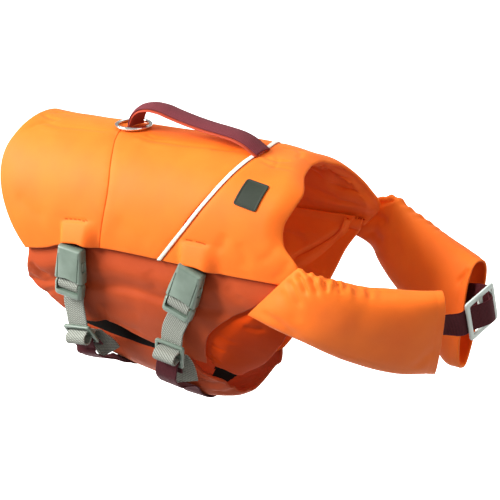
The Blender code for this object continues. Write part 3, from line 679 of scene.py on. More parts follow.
def back_panel(name, rear, front, foam_rear, foam_front, edges, roll=0.0):
    """One back panel, from the near hem over the ridge to the far hem, between two lines over the back."""
    centre_w = np.array((0.0,))
    length = float(front(centre_w)[0] - rear(centre_w)[0])
    u, v = np.meshgrid(steps(max(length, 60.0)), steps(2.0 * float(hem_girth(0.0))), indexing="ij")
    w = 2.0 * v - 1.0
    rear_x = rear(w)
    front_x = front(w)
    x = mix(rear_x, front_x, u)
    girth = w * (hem_girth(x) - np.where(w < 0.0, hem_raise(x), 0.0))
    above = hem_girth(x) - np.abs(girth)
    inward = roll * np.clip(1.0 - (front_x - x) / 20.0, 0.0, 1.0) ** 2 * ease((above - 14.0) / 36.0)
    out = back_relief(x, girth) - inward
    behind = (x - rear_x) / foam_rear
    ahead = (front_x - x) / foam_front
    fill = ease(behind + 0.05) * ease(ahead + 0.05) * ease((above - 12.0) / 18.0)
    wrinkle = 0.8 * noise(x / 17.0, girth / 26.0, 21) + 0.5 * noise(x / 8.0, girth / 19.0, 22)
    thick = mix(HEM_THICK, BACK_FOAM + wrinkle, fill)
    thick = pressed(thick, x, girth, INSIDE_CREASES, fill)
    panel = lay(name, x, girth, out, thick, ORANGE, edges)
    panel.data.materials.append(THREAD)
    stitched = tack_stitches(x, girth)[:-1, :-1].ravel().astype(int)
    panel.data.polygons.foreach_set("material_index", np.concatenate((stitched, np.zeros_like(stitched))))
    return panel


def tack_stitches(x, girth):
    """Where the thread of the bar tack above each buckle shows, a row of dashes."""
    row = np.abs(hem_girth(x) + girth - TACK_HEIGHT) < TACK_THICK / 2.0
    dash = np.mod(x, TACK_STEP) < TACK_STITCH
    spots = [np.abs(x - strap[0][1] - 1.0) < POCKET_HALF for strap in STRAPS]
    return row & dash & (spots[0] | spots[1])


INSIDE_CREASES = (
    # the same, on the inside of the back
    (3, 3, 140, 60, 160, 74, 186, 84),
    (3, 2.4, 120, 40, 142, 52, 170, 56),
    (3.5, 2.2, 150, 96, 170, 104, 192, 104),
    (4, 1.8, 120, 110, 150, 118, 190, 126),
    (3.5, 2.2, 130, -60, 150, -70, 166, -84),
    (3, 2.2, 118, -30, 138, -44, 160, -50),
    (3, 1.6, 118, 76, 140, 84, 150, 92),
    (2.6, 4.2, 168, 20, 159, 50, 157, 80, 166, 91, 190, 97),
    (2.6, 2.6, 157, 78, 146, 74, 134, 72),
    (4, 2, -140, -50, -120, -66, -100, -70),
    (4, 2, -146, 40, -124, 58, -104, 62),
)


def line_over(line, far_line=None):
    """The x of a line over the back at w, which runs from -1 at the near hem to 1 at the far hem."""
    if far_line is None:
        return lambda w: line(np.abs(w))
    return lambda w: np.where(w > 0.0, far_line(np.abs(w)), line(np.abs(w)))


def shifted(line, shift):
    return lambda w: line(w) + shift


def make_back():
    tail = shifted(line_over(tail_edge), -2.0)
    seam = line_over(cross_seam)
    pipe = line_over(piping_line)
    neck = line_over(neck_near, neck_far)
    half_pipe = PIPING_WIDTH / 2.0 - 1.2
    before = shifted(pipe, -half_pipe)
    after = shifted(pipe, half_pipe)
    rear = back_panel("rear_back_cloth", tail, seam, TAIL_RAMP, SEAM_RAMP, (2.0, 3.0, 2.0, 2.0))
    mid = back_panel("middle_back_cloth", seam, before, SEAM_RAMP, SEAM_RAMP, (3.0, 4.0, 2.0, 2.0))
    front = back_panel("front_back_cloth", after, neck, SEAM_RAMP, NECK_RAMP, (4.0, 2.0, 2.0, 2.0), NECK_ROLL)
    return rear, mid, front


PIPING_ROWS = 17            # of points across the piping
PIPING_CELL = 1.2


def make_piping():
    over = steps(2.0 * float(hem_girth(60.0)), PIPING_CELL)
    u, v = np.meshgrid(np.linspace(0.0, 1.0, PIPING_ROWS), over, indexing="ij")
    w = 2.0 * v - 1.0
    x = line_over(piping_line)(w) + (u - 0.5) * PIPING_WIDTH
    girth = w * hem_girth(x)
    round_over = np.sqrt(np.clip(1.0 - (2.0 * u - 1.0) ** 2, 0.0, 1.0))
    out = 0.5 + 1.5 * round_over + 0.12 * noise(girth / 9.0, u, 31)
    return lay("piping_cloth", x, girth, back_relief(x, girth) + out, PIPING_THICK, PIPING)


LABEL_PLACE = (130.2, 73.6)     # x and girth of the middle of the label
LABEL_STRETCH = (1.14, 1.02)    # of its width along x, and of its height over the back
LABEL_SLANT = (6.0, 4.0)        # how far its upright and its level edges slant
LABEL_CORNER = 2.6
LABEL_POINTS = (61, 73)


def make_label():
    u, v = np.meshgrid(*(np.linspace(0.0, 1.0, count) for count in LABEL_POINTS), indexing="ij")
    wide = (u - 0.5) * LABEL_SIZE[0]
    tall = (v - 0.5) * LABEL_SIZE[1]
    # squares the grid into a rectangle with round corners
    over_x = np.abs(wide) - LABEL_SIZE[0] / 2.0 + LABEL_CORNER
    over_y = np.abs(tall) - LABEL_SIZE[1] / 2.0 + LABEL_CORNER
    both = (over_x > 0.0) & (over_y > 0.0)
    shrink = np.where(both, np.maximum(over_x, over_y) / np.maximum(np.hypot(over_x, over_y), 1e-6), 1.0)
    wide = np.where(both, np.sign(wide) * (LABEL_SIZE[0] / 2.0 - LABEL_CORNER + over_x * shrink), wide)
    tall = np.where(both, np.sign(tall) * (LABEL_SIZE[1] / 2.0 - LABEL_CORNER + over_y * shrink), tall)
    edge = np.minimum(LABEL_SIZE[0] / 2.0 - np.abs(wide), LABEL_SIZE[1] / 2.0 - np.abs(tall))
    x = LABEL_PLACE[0] + LABEL_STRETCH[0] * wide + LABEL_SLANT[0] * (tall / LABEL_SIZE[1])
    girth = LABEL_STRETCH[1] * tall - LABEL_PLACE[1] - LABEL_SLANT[1] * (wide / LABEL_SIZE[0])
    border = 0.35 * ease((1.9 - edge) / 0.5)
    outer = on_form(x, girth, back_relief(x, girth) + LAY_GAP + LABEL_THICK + border - 0.1)
    return shell("patch_cloth", outer, LABEL_THICK, PATCH, np.stack((wide, tall), axis=-1))


# Side flaps, gussets and belly


def fold_spot(v):
    """x and girth of the line where a flap turns into its gusset, from its top down to its hem."""
    height = mix(FOLD_LINE[-1][0], FOLD_LINE[0][0], v)
    x = fold_x(height)
    return x, girth_at(x, height)


def side_grid(side, long, tall, cell):
    """Shares along and down a piece, in the order that turns its outer side outwards."""
    u, v = np.meshgrid(steps(long, cell), steps(tall, cell), indexing="ij")
    return u, v[:, ::-1] if side == NEAR else v


def flap_spot(u, v, hem):
    """x and girth of a place on a flap, from its tail edge to the fold and from its top to its hem."""
    folded_x, fold_girth = fold_spot(v)
    x = mix(flap_tail(v), folded_x, u)
    top = hem_girth(folded_x) - HEM_COVER
    fold_share = (fold_girth - top) / (girth_at(folded_x, hem(folded_x)) - top)
    share = mix(v, fold_share, u)
    return x, mix(hem_girth(x) - HEM_COVER, girth_at(x, hem(x)), share)


FLAP_CREASES = (
    # the same, with the girth measured from the orange hem
    (3.2, 2, -128, 16, -116, 30, -104, 36),
    (3, -1.2, -130, 30, -118, 40, -108, 42),
    (4, 1.4, -120, 62, -108, 54, -94, 52),
    (6, 1.2, -40, 88, -20, 96, 6, 99),
    (9, 1, -44, 60, -20, 70, 10, 72),
    (4.5, 1.6, -46, 102, -40, 84, -42, 66),
    (5, 1.4, 46, 96, 52, 80, 50, 62),
    (7, 1.6, 96, 18, 104, 40, 96, 58),
    (4, 1.4, 112, 12, 124, 22, 134, 26),
    (5, 1.6, 60, 44, 84, 50, 104, 46),
    (7, 1, 22, 14, 30, 26, 32, 38),
)


FLAP_SPAN = (230.0, 105.0)  # length and height, which set the number of cells
FLAP_HEM_WIDTH = 6.0        # from a flap's lower edge to its line of stitches
CHANNEL_BELOW = 43.0        # from the orange hem to the channel along each flap
CHANNEL_DEPTH = 3.0
CHANNEL_WIDTHS = (11.0, 5.0)    # above and below its line


def flap_relief(x, below, side):
    """How far a flap stands out from the form, at a distance below the orange hem."""
    out = mix(-(HEM_THICK + LAY_GAP + 0.9), 0.0, ease((below - 2.0) / 22.0))
    line = CHANNEL_BELOW + 0.02 * (x + 20.0) + 1.6 * noise(x / 37.0, below * 0.0, 43)
    wide = np.where(below < line, *CHANNEL_WIDTHS)
    depth = CHANNEL_DEPTH + 0.8 * noise(x / 31.0 + 7.0, below * 0.0, 41)
    out = out - depth * hump(below - line, wide)
    out = out + 0.9 * noise(x / 43.0, below / 33.0, 42 + int(side)) + 0.3 * noise(x / 15.0, below / 17.0, 44)
    return pressed(out, x, below, FLAP_CREASES, ease((below + 2.0) / 8.0))


def make_flap(name, side):
    u, v = side_grid(side, *FLAP_SPAN, CELL)
    hem = near_flap_hem if side == NEAR else far_flap_hem
    x, girth = flap_spot(u, v, hem)
    below = girth - hem_girth(x)
    out = flap_relief(x, below, side)
    above_hem = girth_at(x, hem(x)) - girth
    ahead = fold_spot(v)[0] - x
    behind = x - flap_tail(v)
    out = out - 0.35 * hump(above_hem - FLAP_HEM_WIDTH, 0.8) * ease((below - 10.0) / 20.0)
    fill = ease((below + 2.0) / 18.0) * ease(above_hem / 16.0) * ease(ahead / 14.0) * ease(behind / 20.0)
    thick = mix(FLAP_HEM_THICK, FLAP_FOAM + 0.7 * noise(x / 21.0, below / 18.0, 45), fill)
    return lay(name, x, side * girth, out, thick, RUST, (2.0, 3.0, 2.0, 2.0), ORANGE)


GUSSET_SPAN = (60.0, 150.0)
GUSSETS = {
    # front edge, share down the fold of its foot, sink of its front edge high and low, height of its wave
    NEAR: (GUSSET_EDGE, 0.92, 13.0, 3.5, 2.4),
    FAR: (GUSSET_EDGE_FAR, 1.0, 5.0, 5.0, 0.0),
}


def make_gusset(name, side):
    edge_rows, fold_foot, high, low, rise = GUSSETS[side]
    u, v = side_grid(side, *GUSSET_SPAN, FINE_CELL)
    fold_top = (FOLD_LINE[-1][0] - edge_rows[-1][0]) / (FOLD_LINE[-1][0] - FOLD_LINE[0][0])
    folded_x, fold_girth = fold_spot(mix(fold_top, fold_foot, v))
    height = mix(edge_rows[-1][0], edge_rows[0][0], v)
    wave = rise * ease(6.0 * (v - 0.6)) * np.cos(2.0 * math.pi * (u - 0.62) / 0.62) * ease(5.0 * u)
    edge_x = curve(edge_rows)(height)
    x = mix(folded_x - 5.0, edge_x, u)
    girth = mix(fold_girth, girth_at(edge_x, height), u) - 9.0 * ease(1.0 - v / 0.09)
    girth = np.maximum(hem_girth(x) - 8.0, girth - wave)
    down = girth - hem_girth(x)
    under = flap_relief(folded_x, fold_girth - hem_girth(folded_x), side) - HEM_THICK + 0.2
    sink = mix(high, low, ease((v - 0.3) / 0.4))
    out = mix(under, -sink * u**1.5 * ease(4.0 * v), ease(4.0 * u - 0.5))
    out = pressed(out, x, down, GUSSET_CREASES, ease(6.0 * (1.0 - v) + 0.2))
    out = out + 0.8 * noise(x / 24.0, down / 31.0, 51 + int(side)) * ease(5.0 * u)
    out = mix(out, np.minimum(out, -HEM_THICK - LAY_GAP), ease((5.0 - down) / 4.0))
    return lay(name, x, side * girth, out, GUSSET_THICK, DEEP, (4.0, 2.0, 2.0, 2.0), ORANGE)


GUSSET_CREASES = (
    # as on the flaps
    (2.2, 1.3, 80, 108, 88, 112, 95, 118),
    (2.4, 1, 84, 92, 94, 96, 104, 98),
    (3, 0.8, 96, 76, 108, 82, 118, 84),
    (2, 1.4, 78, 118, 85, 124, 90, 131),
    (4, 1.4, 126, 58, 140, 62, 152, 60),
)


BELLY_SPAN = (190.0, 230.0)
BELLY_LIP = 0.918           # share across at which the panel turns inwards under the flap
BELLY_UNDER = 8.0           # how far its far edge runs up under the far flap
BELLY_TUCK = 16.0           # how far the belly panel's near edge runs on inside the flap
BELLY_DROP = 12.0           # how far that part is sunk
SHADOW_PATCH_PLACE = (38.0, 68.0, 0.34)  # x, x and share across of the painted shadow on the belly's inside that shows past the near gusset


def tucked(x):
    """1 where the belly's near edge runs on inside the flap, and 0 ahead of the front legs."""
    return ease((60.0 - x) / 30.0)


def belly_edges(x):
    """The girths at the far and near edges of the belly panel."""
    far = girth_at(x, belly_far(x)) - BELLY_UNDER
    tuck = BELLY_TUCK * tucked(x) * ease((x + 106.0) / 16.0)
    return far, whole_girth(x) - girth_at(x, belly_near(x)) + tuck


def belly_relief(x, v):
    """How far the belly panel stands out from the form. Share v runs from its far to its near edge."""
    across = (v - 0.5) * 200.0
    out = -0.5 - 10.0 * ease(1.0 - (1.0 - v) / (0.30 - 0.06 * tucked(x)))
    out = out + 2.5 * ease((x - 5.0) / 30.0) + 2.0 * ease((x - 60.0) / 30.0)
    out = out - BELLY_DROP * ease((v - BELLY_LIP) / 0.03) * tucked(x) - 5.0 * ease(1.0 - v / 0.045)
    out = pressed(out, x, across, BELLY_CREASES)
    return out + 0.9 * noise(x / 38.0, across / 34.0, 61) + 0.35 * noise(x / 14.0, across / 19.0, 62)


def make_belly():
    u, v = np.meshgrid(*map(steps, BELLY_SPAN), indexing="ij")
    share = 1.0 - 2.0 * v
    x = mix(belly_tail(share), belly_front(share), u)
    far, near = belly_edges(x)
    girth = mix(far, near, v)
    out = belly_relief(x, v)
    fill = ease(np.minimum(u, 1.0 - u) * 12.0) * ease(np.minimum(v, 1.0 - v) * 10.0)
    thin = ease((v - BELLY_LIP + 0.07) / 0.05) * tucked(x)
    thick = mix(HEM_THICK - 0.4 * thin, BELLY_FOAM, fill * (1.0 - thin))
    belly = lay("belly_cloth", x, girth, out, thick, RUST)
    # Painted shadow: the belly's inside past the near gusset, and its sunk near edge seen through the gap under
    # the flap, get the near-black cloth
    behind, ahead, across = SHADOW_PATCH_PLACE
    inside = (v > across) & (x > behind) & (x < ahead - 120.0 * np.maximum(v - 0.51, 0.0))
    outside = (v > BELLY_LIP + 0.003) & (x < 45.0)
    belly.data.materials.append(MESH)
    shadow_faces = np.concatenate((outside[:-1, :-1].ravel(), inside[:-1, :-1].ravel())).astype(int)
    belly.data.polygons.foreach_set("material_index", shadow_faces)
    return belly


BELLY_CREASES = (
    # the same, with the place across the belly, from -100 at its far edge to 100 at its near edge
    (5, 2.6, 84, 98, 66, 80, 48, 72),
    (4, 2, 92, 84, 76, 66, 60, 60),
    (5, 1.8, 100, 60, 84, 50, 66, 48),
    (3, 1.4, 70, 96, 56, 90, 40, 90),
    (6, 1.6, 104, 20, 86, 16, 60, 20),
    (6, 1.4, -90, 60, -70, 66, -40, 62),
    (7, 1.4, -96, -10, -70, 0, -44, -4),
)


# Neck floats

FLOAT_LENGTH = 165.0
FLOAT_CELL = 1.5
FLOAT_AROUND = 112          # points round a float
FLOAT_HEM_WIDTH = 8.0       # from the open end to its line of stitches
PUCKER_PERIOD = 13.0        # from gather to gather along the top edge
PUCKER_END = 112.0          # distance from the root at which the gathers have faded out
# the rim of the open end: how far in from the outside, and how far beyond the end
FLOAT_RIM = ((0.3, 0.5), (1.2, 0.9), (2.1, 0.5))
# the inside of the open end: depth, walls in from the outside, share of the skew of the mouth
FLOAT_INSIDE = ((0, 1, 1), (3, 1.1, 0.9), (10, 1.6, 0.6), (20, 2.6, 0.3), (32, 6, 0), (40, 14, 0))

NEAR_FLOAT_CREASES = (
    # width, depth, then the places along and over the face from the top edge of each point of its path
    (2.6, 4, 3, 6, 16, 12, 30, 24),
    (3.4, 3, 2, 16, 16, 25, 32, 40),
    (2.6, 3.2, 10, -2, 24, 6, 38, 20),
    (2.4, 2.6, 28, -4, 36, 4, 44, 14),
    (2.6, 2.2, 46, -5, 52, 3, 56, 12),
    (2.8, 1.7, 64, -5, 68, 2, 71, 9),
    (2.8, 1.2, 80, -4, 84, 3, 86, 9),
    (4.5, 1.8, 4, 30, 20, 42, 38, 56),
    (5, 1.6, 4, 66, 22, 66, 44, 74),
    (5, 1.4, 140, 86, 150, 70, 160, 60),
    (4, 3, 6, 106, 24, 112, 44, 118),
    (4.5, 2.6, 6, 122, 26, 130, 52, 132),
    (4, 2.8, 5, 142, 24, 146, 48, 150),
    (4, 2.2, 8, 160, 28, 164, 46, 166),
)
FAR_FLOAT_CREASES = (
    (3, 3.4, 0, -8, 12, -10, 24, -6),
    (4, 2.6, 2, -22, 16, -30, 34, -34),
    (3, 2.6, 4, 6, 18, 12, 34, 12),
    (4, 2.4, 2, 22, 18, 30, 36, 36),
    (2.8, 2, 26, -2, 34, 4, 42, 12),
    (3.2, 1.4, 52, -4, 58, 2, 64, 8),
    (5, 1.8, 6, -46, 22, -52, 44, -52),
    (3.6, 3, 150, -38, 158, -28, 163, -16),
    (5, 1.4, 132, -86, 146, -72, 158, -66),
    (5, 2, 4, 50, 24, 56, 48, 54),
)


def float_surface(rows, side, share, turn, shrink=0.0):
    """Places round a neck float: its top edge is at turn 0 and its outer face at a quarter turn."""
    row = curve(rows)(share)
    centre = (row[..., 0:3] + row[..., 3:6]) / 2.0
    half = (row[..., 0:3] - row[..., 3:6]) / 2.0
    width = np.linalg.norm(half, axis=-1)
    deep = row[..., 6] / 2.0
    along = curve(rows)(np.clip(share + 0.02, 0.0, 1.0)) - curve(rows)(np.clip(share - 0.02, 0.0, 1.0))
    ahead = (along[..., 0:3] + along[..., 3:6]) / 2.0
    out = unit(np.cross(half, ahead))
    out = out * (np.sign(out[..., 1]) * side)[..., None]
    c = np.cos(turn)
    s = np.sin(turn)
    power = 2.0 / FLOAT_ROUNDNESS
    wide = np.sign(c) * np.abs(c) ** power * (1.0 - shrink / width)
    thick = np.sign(s) * np.abs(s) ** power * np.maximum(deep - shrink, 0.8)
    return centre + half * wide[..., None] + out * thick[..., None]


def make_float(name, rows, side, creases, seed, mouth):
    """A sleeve that is open at its end. The mouth says how far its end is skewed."""
    turns = np.linspace(0.0, 2.0 * math.pi, FLOAT_AROUND, endpoint=False)
    share, turn = np.meshgrid(steps(FLOAT_LENGTH, FLOAT_CELL), turns, indexing="ij")
    base = float_surface(rows, side, share, turn)
    around = np.roll(base, -1, axis=1) - np.roll(base, 1, axis=1)
    over = lengths_along(base, 1)
    girth = over[:, -1:] + np.linalg.norm(base[:, :1] - base[:, -1:], axis=2)
    over_signed = np.where(over > girth / 2.0, over - girth, over)
    normal = unit(np.cross(np.gradient(base, axis=0), around))
    centre = base.mean(axis=1, keepdims=True)
    normal *= np.sign(np.sum(normal * (base - centre), axis=2))[..., None]
    place = share * FLOAT_LENGTH
    relief = 1.2 * noise(place / 46.0, over / 37.0, seed) * ease(place / 20.0)
    relief += 0.4 * noise(place / 17.0, over / 14.0, seed + 1)
    for shift in (0.0, 1.0):
        relief = pressed(relief, place, over_signed + shift * girth, creases, ease(place / 5.0))
    edge = np.minimum(over, girth - over)
    pucker = np.sin(place / PUCKER_PERIOD * 2.0 * math.pi + 1.5 * noise(place / 20.0, share * 0.0, seed + 2))
    relief += 1.1 * pucker * hump(edge, 9.0) * ease(place / 14.0) * ease((PUCKER_END - place) / 60.0)
    relief -= 0.25 * hump(place - FLOAT_LENGTH + FLOAT_HEM_WIDTH, 0.9)
    ends = curve(rows)(1.0) - curve(rows)(0.96)
    forward = unit(ends[0:3] + ends[3:6])
    lower = hump(turn / math.pi - 1.25, 0.42)
    outside = hump(turn / math.pi - 0.5, 0.4)
    slide = forward * (mouth * (lower - 0.3 * outside) * ease((share - 0.7) / 0.3))[..., None]
    outer = base + normal * relief[..., None] + slide
    shrink, reach = np.array(FLOAT_RIM).T[..., None]
    rim = float_surface(rows, side, *np.meshgrid(np.ones(len(shrink)), turns, indexing="ij"), shrink)
    rim = rim + forward * reach[..., None] + slide[-1]
    depth, walls, skewed = np.array(FLOAT_INSIDE).T[..., None]
    deeper = np.broadcast_arrays(1.0 - depth / FLOAT_LENGTH, turns)
    inner = float_surface(rows, side, *deeper, walls * FLOAT_WALL) + slide[-1] * skewed[..., None]
    rings = np.concatenate((outer, rim, inner))
    flat = np.meshgrid(np.arange(len(rings)) * FLOAT_CELL, turns * 30.0, indexing="ij")
    return tube(name, rings, ORANGE, np.stack(flat, axis=-1))


def tube(name, rings, finish, uvs=None, smooth=True):
    """A closed body round rings of points, closed at both ends by a fan."""
    count, around = rings.shape[:2]
    points = np.vstack((rings.reshape(-1, 3), rings[0].mean(axis=0), rings[-1].mean(axis=0)))
    i, j = np.meshgrid(np.arange(count - 1), np.arange(around), indexing="ij")
    first = (i * around + j).ravel()
    after = (i * around + (j + 1) % around).ravel()
    faces = np.column_stack((first, after, after + around, first + around)).tolist()
    last = (count - 1) * around
    for k in range(around):
        faces.append((k, count * around, (k + 1) % around))
        faces.append((last + k, last + (k + 1) % around, count * around + 1))
    flat = None
    if uvs is not None:
        flat = np.vstack((uvs.reshape(-1, 2), uvs[0].mean(axis=0), uvs[-1].mean(axis=0)))
    piece = add_piece(name, points, faces, finish, flat, smooth)
    outward(piece)
    return piece


def outward(piece):
    """Turns the faces of a closed body outwards."""
    body = bmesh.new()
    body.from_mesh(piece.data)
    bmesh.ops.recalc_face_normals(body, faces=body.faces)
    body.to_mesh(piece.data)
    body.free()


# Webbing


RIB_STEP = 2.1
RIB_SLANT = 0.2


def ribbon(name, points, across, finish, width=WEBBING_WIDTH, thick=WEBBING_THICK, cell=1.0, rib=0.0,
           droop=0.0):
    """Webbing along a smooth path, with ribs across it. Its width lies along the across directions, and its
    edges droop."""
    points = np.asarray(points, dtype=float)
    lengths = lengths_along(points)
    places = np.linspace(0.0, lengths[-1], max(int(lengths[-1] / cell), 2) + 1)
    spots = curve(np.column_stack((lengths, points)))(places)
    across = np.broadcast_to(np.asarray(across, dtype=float), points.shape)
    turns = curve(np.column_stack((lengths, across)))(places)
    ahead = unit(np.gradient(spots, axis=0))
    side = unit(turns - ahead * np.sum(ahead * turns, axis=1, keepdims=True))
    up = np.cross(ahead, side)
    v = steps(width, 1.6)
    wide = (v - 0.5) * width
    place = places[:, None] * np.ones_like(v)
    over = wide[None, :] * np.ones_like(place)
    wave = rib * np.cos((place + RIB_SLANT * over) * 2.0 * math.pi / RIB_STEP)
    rise = thick / 2.0 + wave - droop * (2.0 * over / width) ** 2
    outer = spots[:, None, :] + side[:, None, :] * over[..., None] + up[:, None, :] * rise[..., None]
    flat = np.stack((place, over), axis=-1)
    return shell(name, outer, thick + 2.0 * wave, finish, flat, (4.0, 4.0, 2.0, 2.0))


def slanted(strap, height):
    """The directions across and down a strap at a height."""
    slant = strap_x(strap, height + 20.0) - strap_x(strap, height - 20.0)
    long = math.hypot(40.0, slant)
    return np.array((40.0, 0.0, -slant)) / long, np.array((-slant, 0.0, -40.0)) / long


BUCKLE_BACK = -90.0     # y of the face that lies on the flap
BUCKLE_SLOPE = 30.0     # depth below the top of a buckle at which its slope is taken
BUCKLE_RAISE = (2.2, 4.6)   # from the end of each strap's middle line up to the top of its buckle
ADJUSTER_FRONT = -92.5  # y of the middle of an adjuster's upper bar
ADJUSTERS = (
    # height of the upper end, height at which the slope is taken, degrees that the lower end leans inwards
    (-186, -195, 30),
    (-178.6, -200, 9),
)
GREY_TAIL = (
    # the loose end of each grey webbing: steps from the lower bar, and the way its width turns
    (((4, 4, -9), (0.94, 0.2, 0.2)), ((10, 10, -20), (0.8, 0.36, 0.36)),
     ((15, 14, -31), (0.7, 0.45, 0.5))),
    (((4, 3, -9), (0.96, 0.2, -0.1)), ((7, 5, -21), (0.9, 0.35, -0.1)),
     ((8, 7, -34), (0.9, 0.4, 0))),
)
GREY_UPPER = (
    # (y, distance below the top of the buckle) of the grey webbing round the bar of the plug
    (-91, 34.6), (-94.6, 33.6), (-97.8, 35.4), (-99.6, 38.8), (-99, 43), (-95.6, 46.4), (-90.4, 47.8),
    (-87.9, 51), (-87.8, 56), (-88, 60),
)
GREY_DOWN = ((-88.8, -12), (-88.8, -3), (-88.6, 2))     # and below the top of the adjuster
GREY_ROLL = ((-91.6, 6.6), (-96.5, 6.9), (-102, 7), (-105.6, 12.2), (-102, 17.8), (-96, 18.2), (-90.5, 16.9),
             (-84, 18), (-80, 24))
BELT_LOOP = ((-98.6, 31), (-97.6, 26), (-94.6, 21), (-90.6, 21.6), (-88.2, 27), (-87.4, 34), (-86.8, 40))
BELT_ARC = (
    # (y, distance below the adjuster's top) of each belt between the belly and its adjuster
    ((-46, 60), (-62, 51), (-75, 42), (-83, 34)),
    ((-64, 64), (-77, 58), (-87, 49), (-93, 40)),
)
BELT_POINTS = 28        # of each belt's path on the far flap and the belly


def buckle_top(strap):
    return strap[0][0] + BUCKLE_RAISE[STRAPS.index(strap)]


def leaned(rows, pitch):
    """Points (y, distance down) of an adjuster, turned inwards about its upper bar."""
    c = math.cos(math.radians(pitch))
    s = math.sin(math.radians(pitch))
    out = [(y - ADJUSTER_FRONT, far) for y, far in rows]
    return [(ADJUSTER_FRONT + y * c + far * s, far * c - y * s) for y, far in out]


def below(strap, top, slope, rows):
    """Points given by y and by the distance down from the top of a buckle or an adjuster."""
    down = slanted(strap, slope)[1]
    start = np.array((float(strap_x(strap, top)), 0.0, top))
    return [start + down * far + np.array((0.0, y, 0.0)) for y, far in rows]


def make_straps(index, strap):
    """The stub that holds the buckle, the grey webbing below it and the belt from the far side."""
    top = buckle_top(strap)
    lock_top, lock_slope, pitch = ADJUSTERS[index - 1]
    slope = top - BUCKLE_SLOPE
    back = BUCKLE_BACK + 1.2
    holder = below(strap, top, slope, ((back, -14.0), (back, -7.0), (back, 2.0)))
    stub = ribbon("stub_webbing_%d" % index, holder, slanted(strap, slope)[0], BURGUNDY)
    upper = below(strap, top, slope, GREY_UPPER)
    lower = below(strap, lock_top, lock_slope, [*GREY_DOWN, *leaned(GREY_ROLL, pitch)])
    across = [slanted(strap, slope)[0]] * len(upper) + [slanted(strap, lock_slope)[0]] * len(lower)
    tail = [lower[-1] + np.array(step) for step, turned in GREY_TAIL[index - 1]]
    across += [np.array(turned) for step, turned in GREY_TAIL[index - 1]]
    grey = ribbon("grey_webbing_%d" % index, upper + lower + tail, across, GREY_WEB, cell=0.3, rib=0.16)
    lowest = strap[-1][1]
    start = float(hem_girth(lowest)) + 1.0
    leaves = float(whole_girth(lowest) - girth_at(lowest, STRAP_LEAVES[index - 1]))
    girths = np.linspace(start, leaves, BELT_POINTS)
    wide = WEBBING_WIDTH / 2.0
    far, near = belly_edges(lowest)
    places = np.full(BELT_POINTS, lowest)
    on_flap = flap_relief(places, girths - float(hem_girth(lowest)), FAR)
    on_belly = belly_relief(places, np.clip((girths - far) / (near - far), 0.0, 1.0))
    lie = mix(on_flap, on_belly, ease((girths - far - BELLY_UNDER) / 12.0))
    points = list(on_form(lowest, girths, lie + LAY_GAP + WEBBING_THICK / 2.0 + 0.5))
    sides = list(unit(form_point(lowest + wide, girths) - form_point(lowest - wide, girths)))
    loop = below(strap, lock_top, lock_slope, [*BELT_ARC[index - 1], *leaned(BELT_LOOP, pitch)])
    sides += [slanted(strap, lock_slope)[0]] * len(loop)
    belt = ribbon("belly_webbing_%d" % index, points + loop, sides, BURGUNDY)
    return stub, grey, belt


def make_handle():
    path = np.array(HANDLE_PATH)
    rise = (WEBBING_THICK + LINING_THICK) / 2.0 + 0.1
    ahead = np.gradient(path, axis=0)
    normal = unit(np.column_stack((-ahead[:, 2], ahead[:, 1], ahead[:, 0])))
    # The handle wears the lighter copy of the burgundy webbing, painted light
    web = ribbon("handle_webbing_cloth", path, (0.0, -1.0, 0.0), LIT_HANDLE_WEAVE, droop=-3.0)
    lining = ribbon("handle_lining_cloth", path - normal * rise, (0.0, -1.0, 0.0), LINING, LINING_WIDTH,
                    LINING_THICK, droop=-3.8)
    return web, lining


def local_frame(across, down):
    """A turn whose X runs across, whose -Z runs down, and whose -Y points out."""
    across = Vector(across).normalized()
    up = -Vector(down).normalized()
    back = up.cross(across).normalized()
    across = back.cross(up)
    return np.array(Matrix((across, back, up)).transposed())


NECK_SEWN_NEAR = ((304, -43, -124), (315, -34, -123.5))
NECK_SEWN_FAR = ((333, 28, -116), (323, 36, -121), (314, 43, -125))
SLIDE_CENTRE = np.array((342.2, 0.5, -118.3))
SLIDE_TURN = local_frame((0.263, 0.949, 0.173), (0.182, 0.127, -0.975))


def mouth_across(rows):
    row = curve(rows)(1.0)
    return unit(row[0:3] - row[3:6])


def make_neck_strap():
    across = SLIDE_TURN[:, 0]
    up = SLIDE_TURN[:, 2]
    out = -SLIDE_TURN[:, 1]
    behind = -(SLIDE_THICK + WEBBING_THICK) / 2.0 - 0.5
    weave = [(-24.0, behind - 0.4), (-19.0, behind), (-12.4, 0.0), (-5.0, 1.6 - behind), (4.0, 5.0 - behind),
             (10.5, 3.6 - behind), (15.4, 0.0), (20.0, behind), (24.5, behind - 0.4)]
    points = [*NECK_SEWN_NEAR, *(SLIDE_CENTRE + across * a + out * b for a, b in weave), *NECK_SEWN_FAR]
    turns = [mouth_across(FLOAT_NEAR)] * 2 + [up] * len(weave) + [mouth_across(FLOAT_FAR)] * 3
    return ribbon("neck_webbing", points, turns, BURGUNDY)


# Hardware

ARC_POINTS = 6              # on each rounded corner of an outline
SHARP_EDGE = 32.0           # degrees between faces above which an edge is rounded
SHARP_SHADE = 40.0          # and above which it stays sharp in the shading


def rounded(corners, radius, distance, count):
    """A closed outline, moved inwards by a distance, with its corners rounded. It runs against the clock."""
    corners = np.asarray(corners, dtype=float)
    ahead = unit(np.roll(corners, -1, axis=0) - corners)
    behind = np.roll(ahead, 1, axis=0)
    into = np.column_stack((-ahead[:, 1], ahead[:, 0])) + np.column_stack((-behind[:, 1], behind[:, 0]))
    corners = corners + into * distance / (1.0 + np.sum(ahead * behind, axis=1, keepdims=True))
    points = []
    for before, corner, after in zip(np.roll(corners, 1, axis=0), corners, np.roll(corners, -1, axis=0)):
        reach = max(radius - distance, 0.12)
        reach = min(reach, np.linalg.norm(before - corner) * 0.45, np.linalg.norm(after - corner) * 0.45)
        start = corner + unit(before - corner) * reach
        end = corner + unit(after - corner) * reach
        for t in np.linspace(0.0, 1.0, count):
            points.append(start * (1 - t) ** 2 + corner * 2.0 * t * (1 - t) + end * t**2)
    return np.array(points)


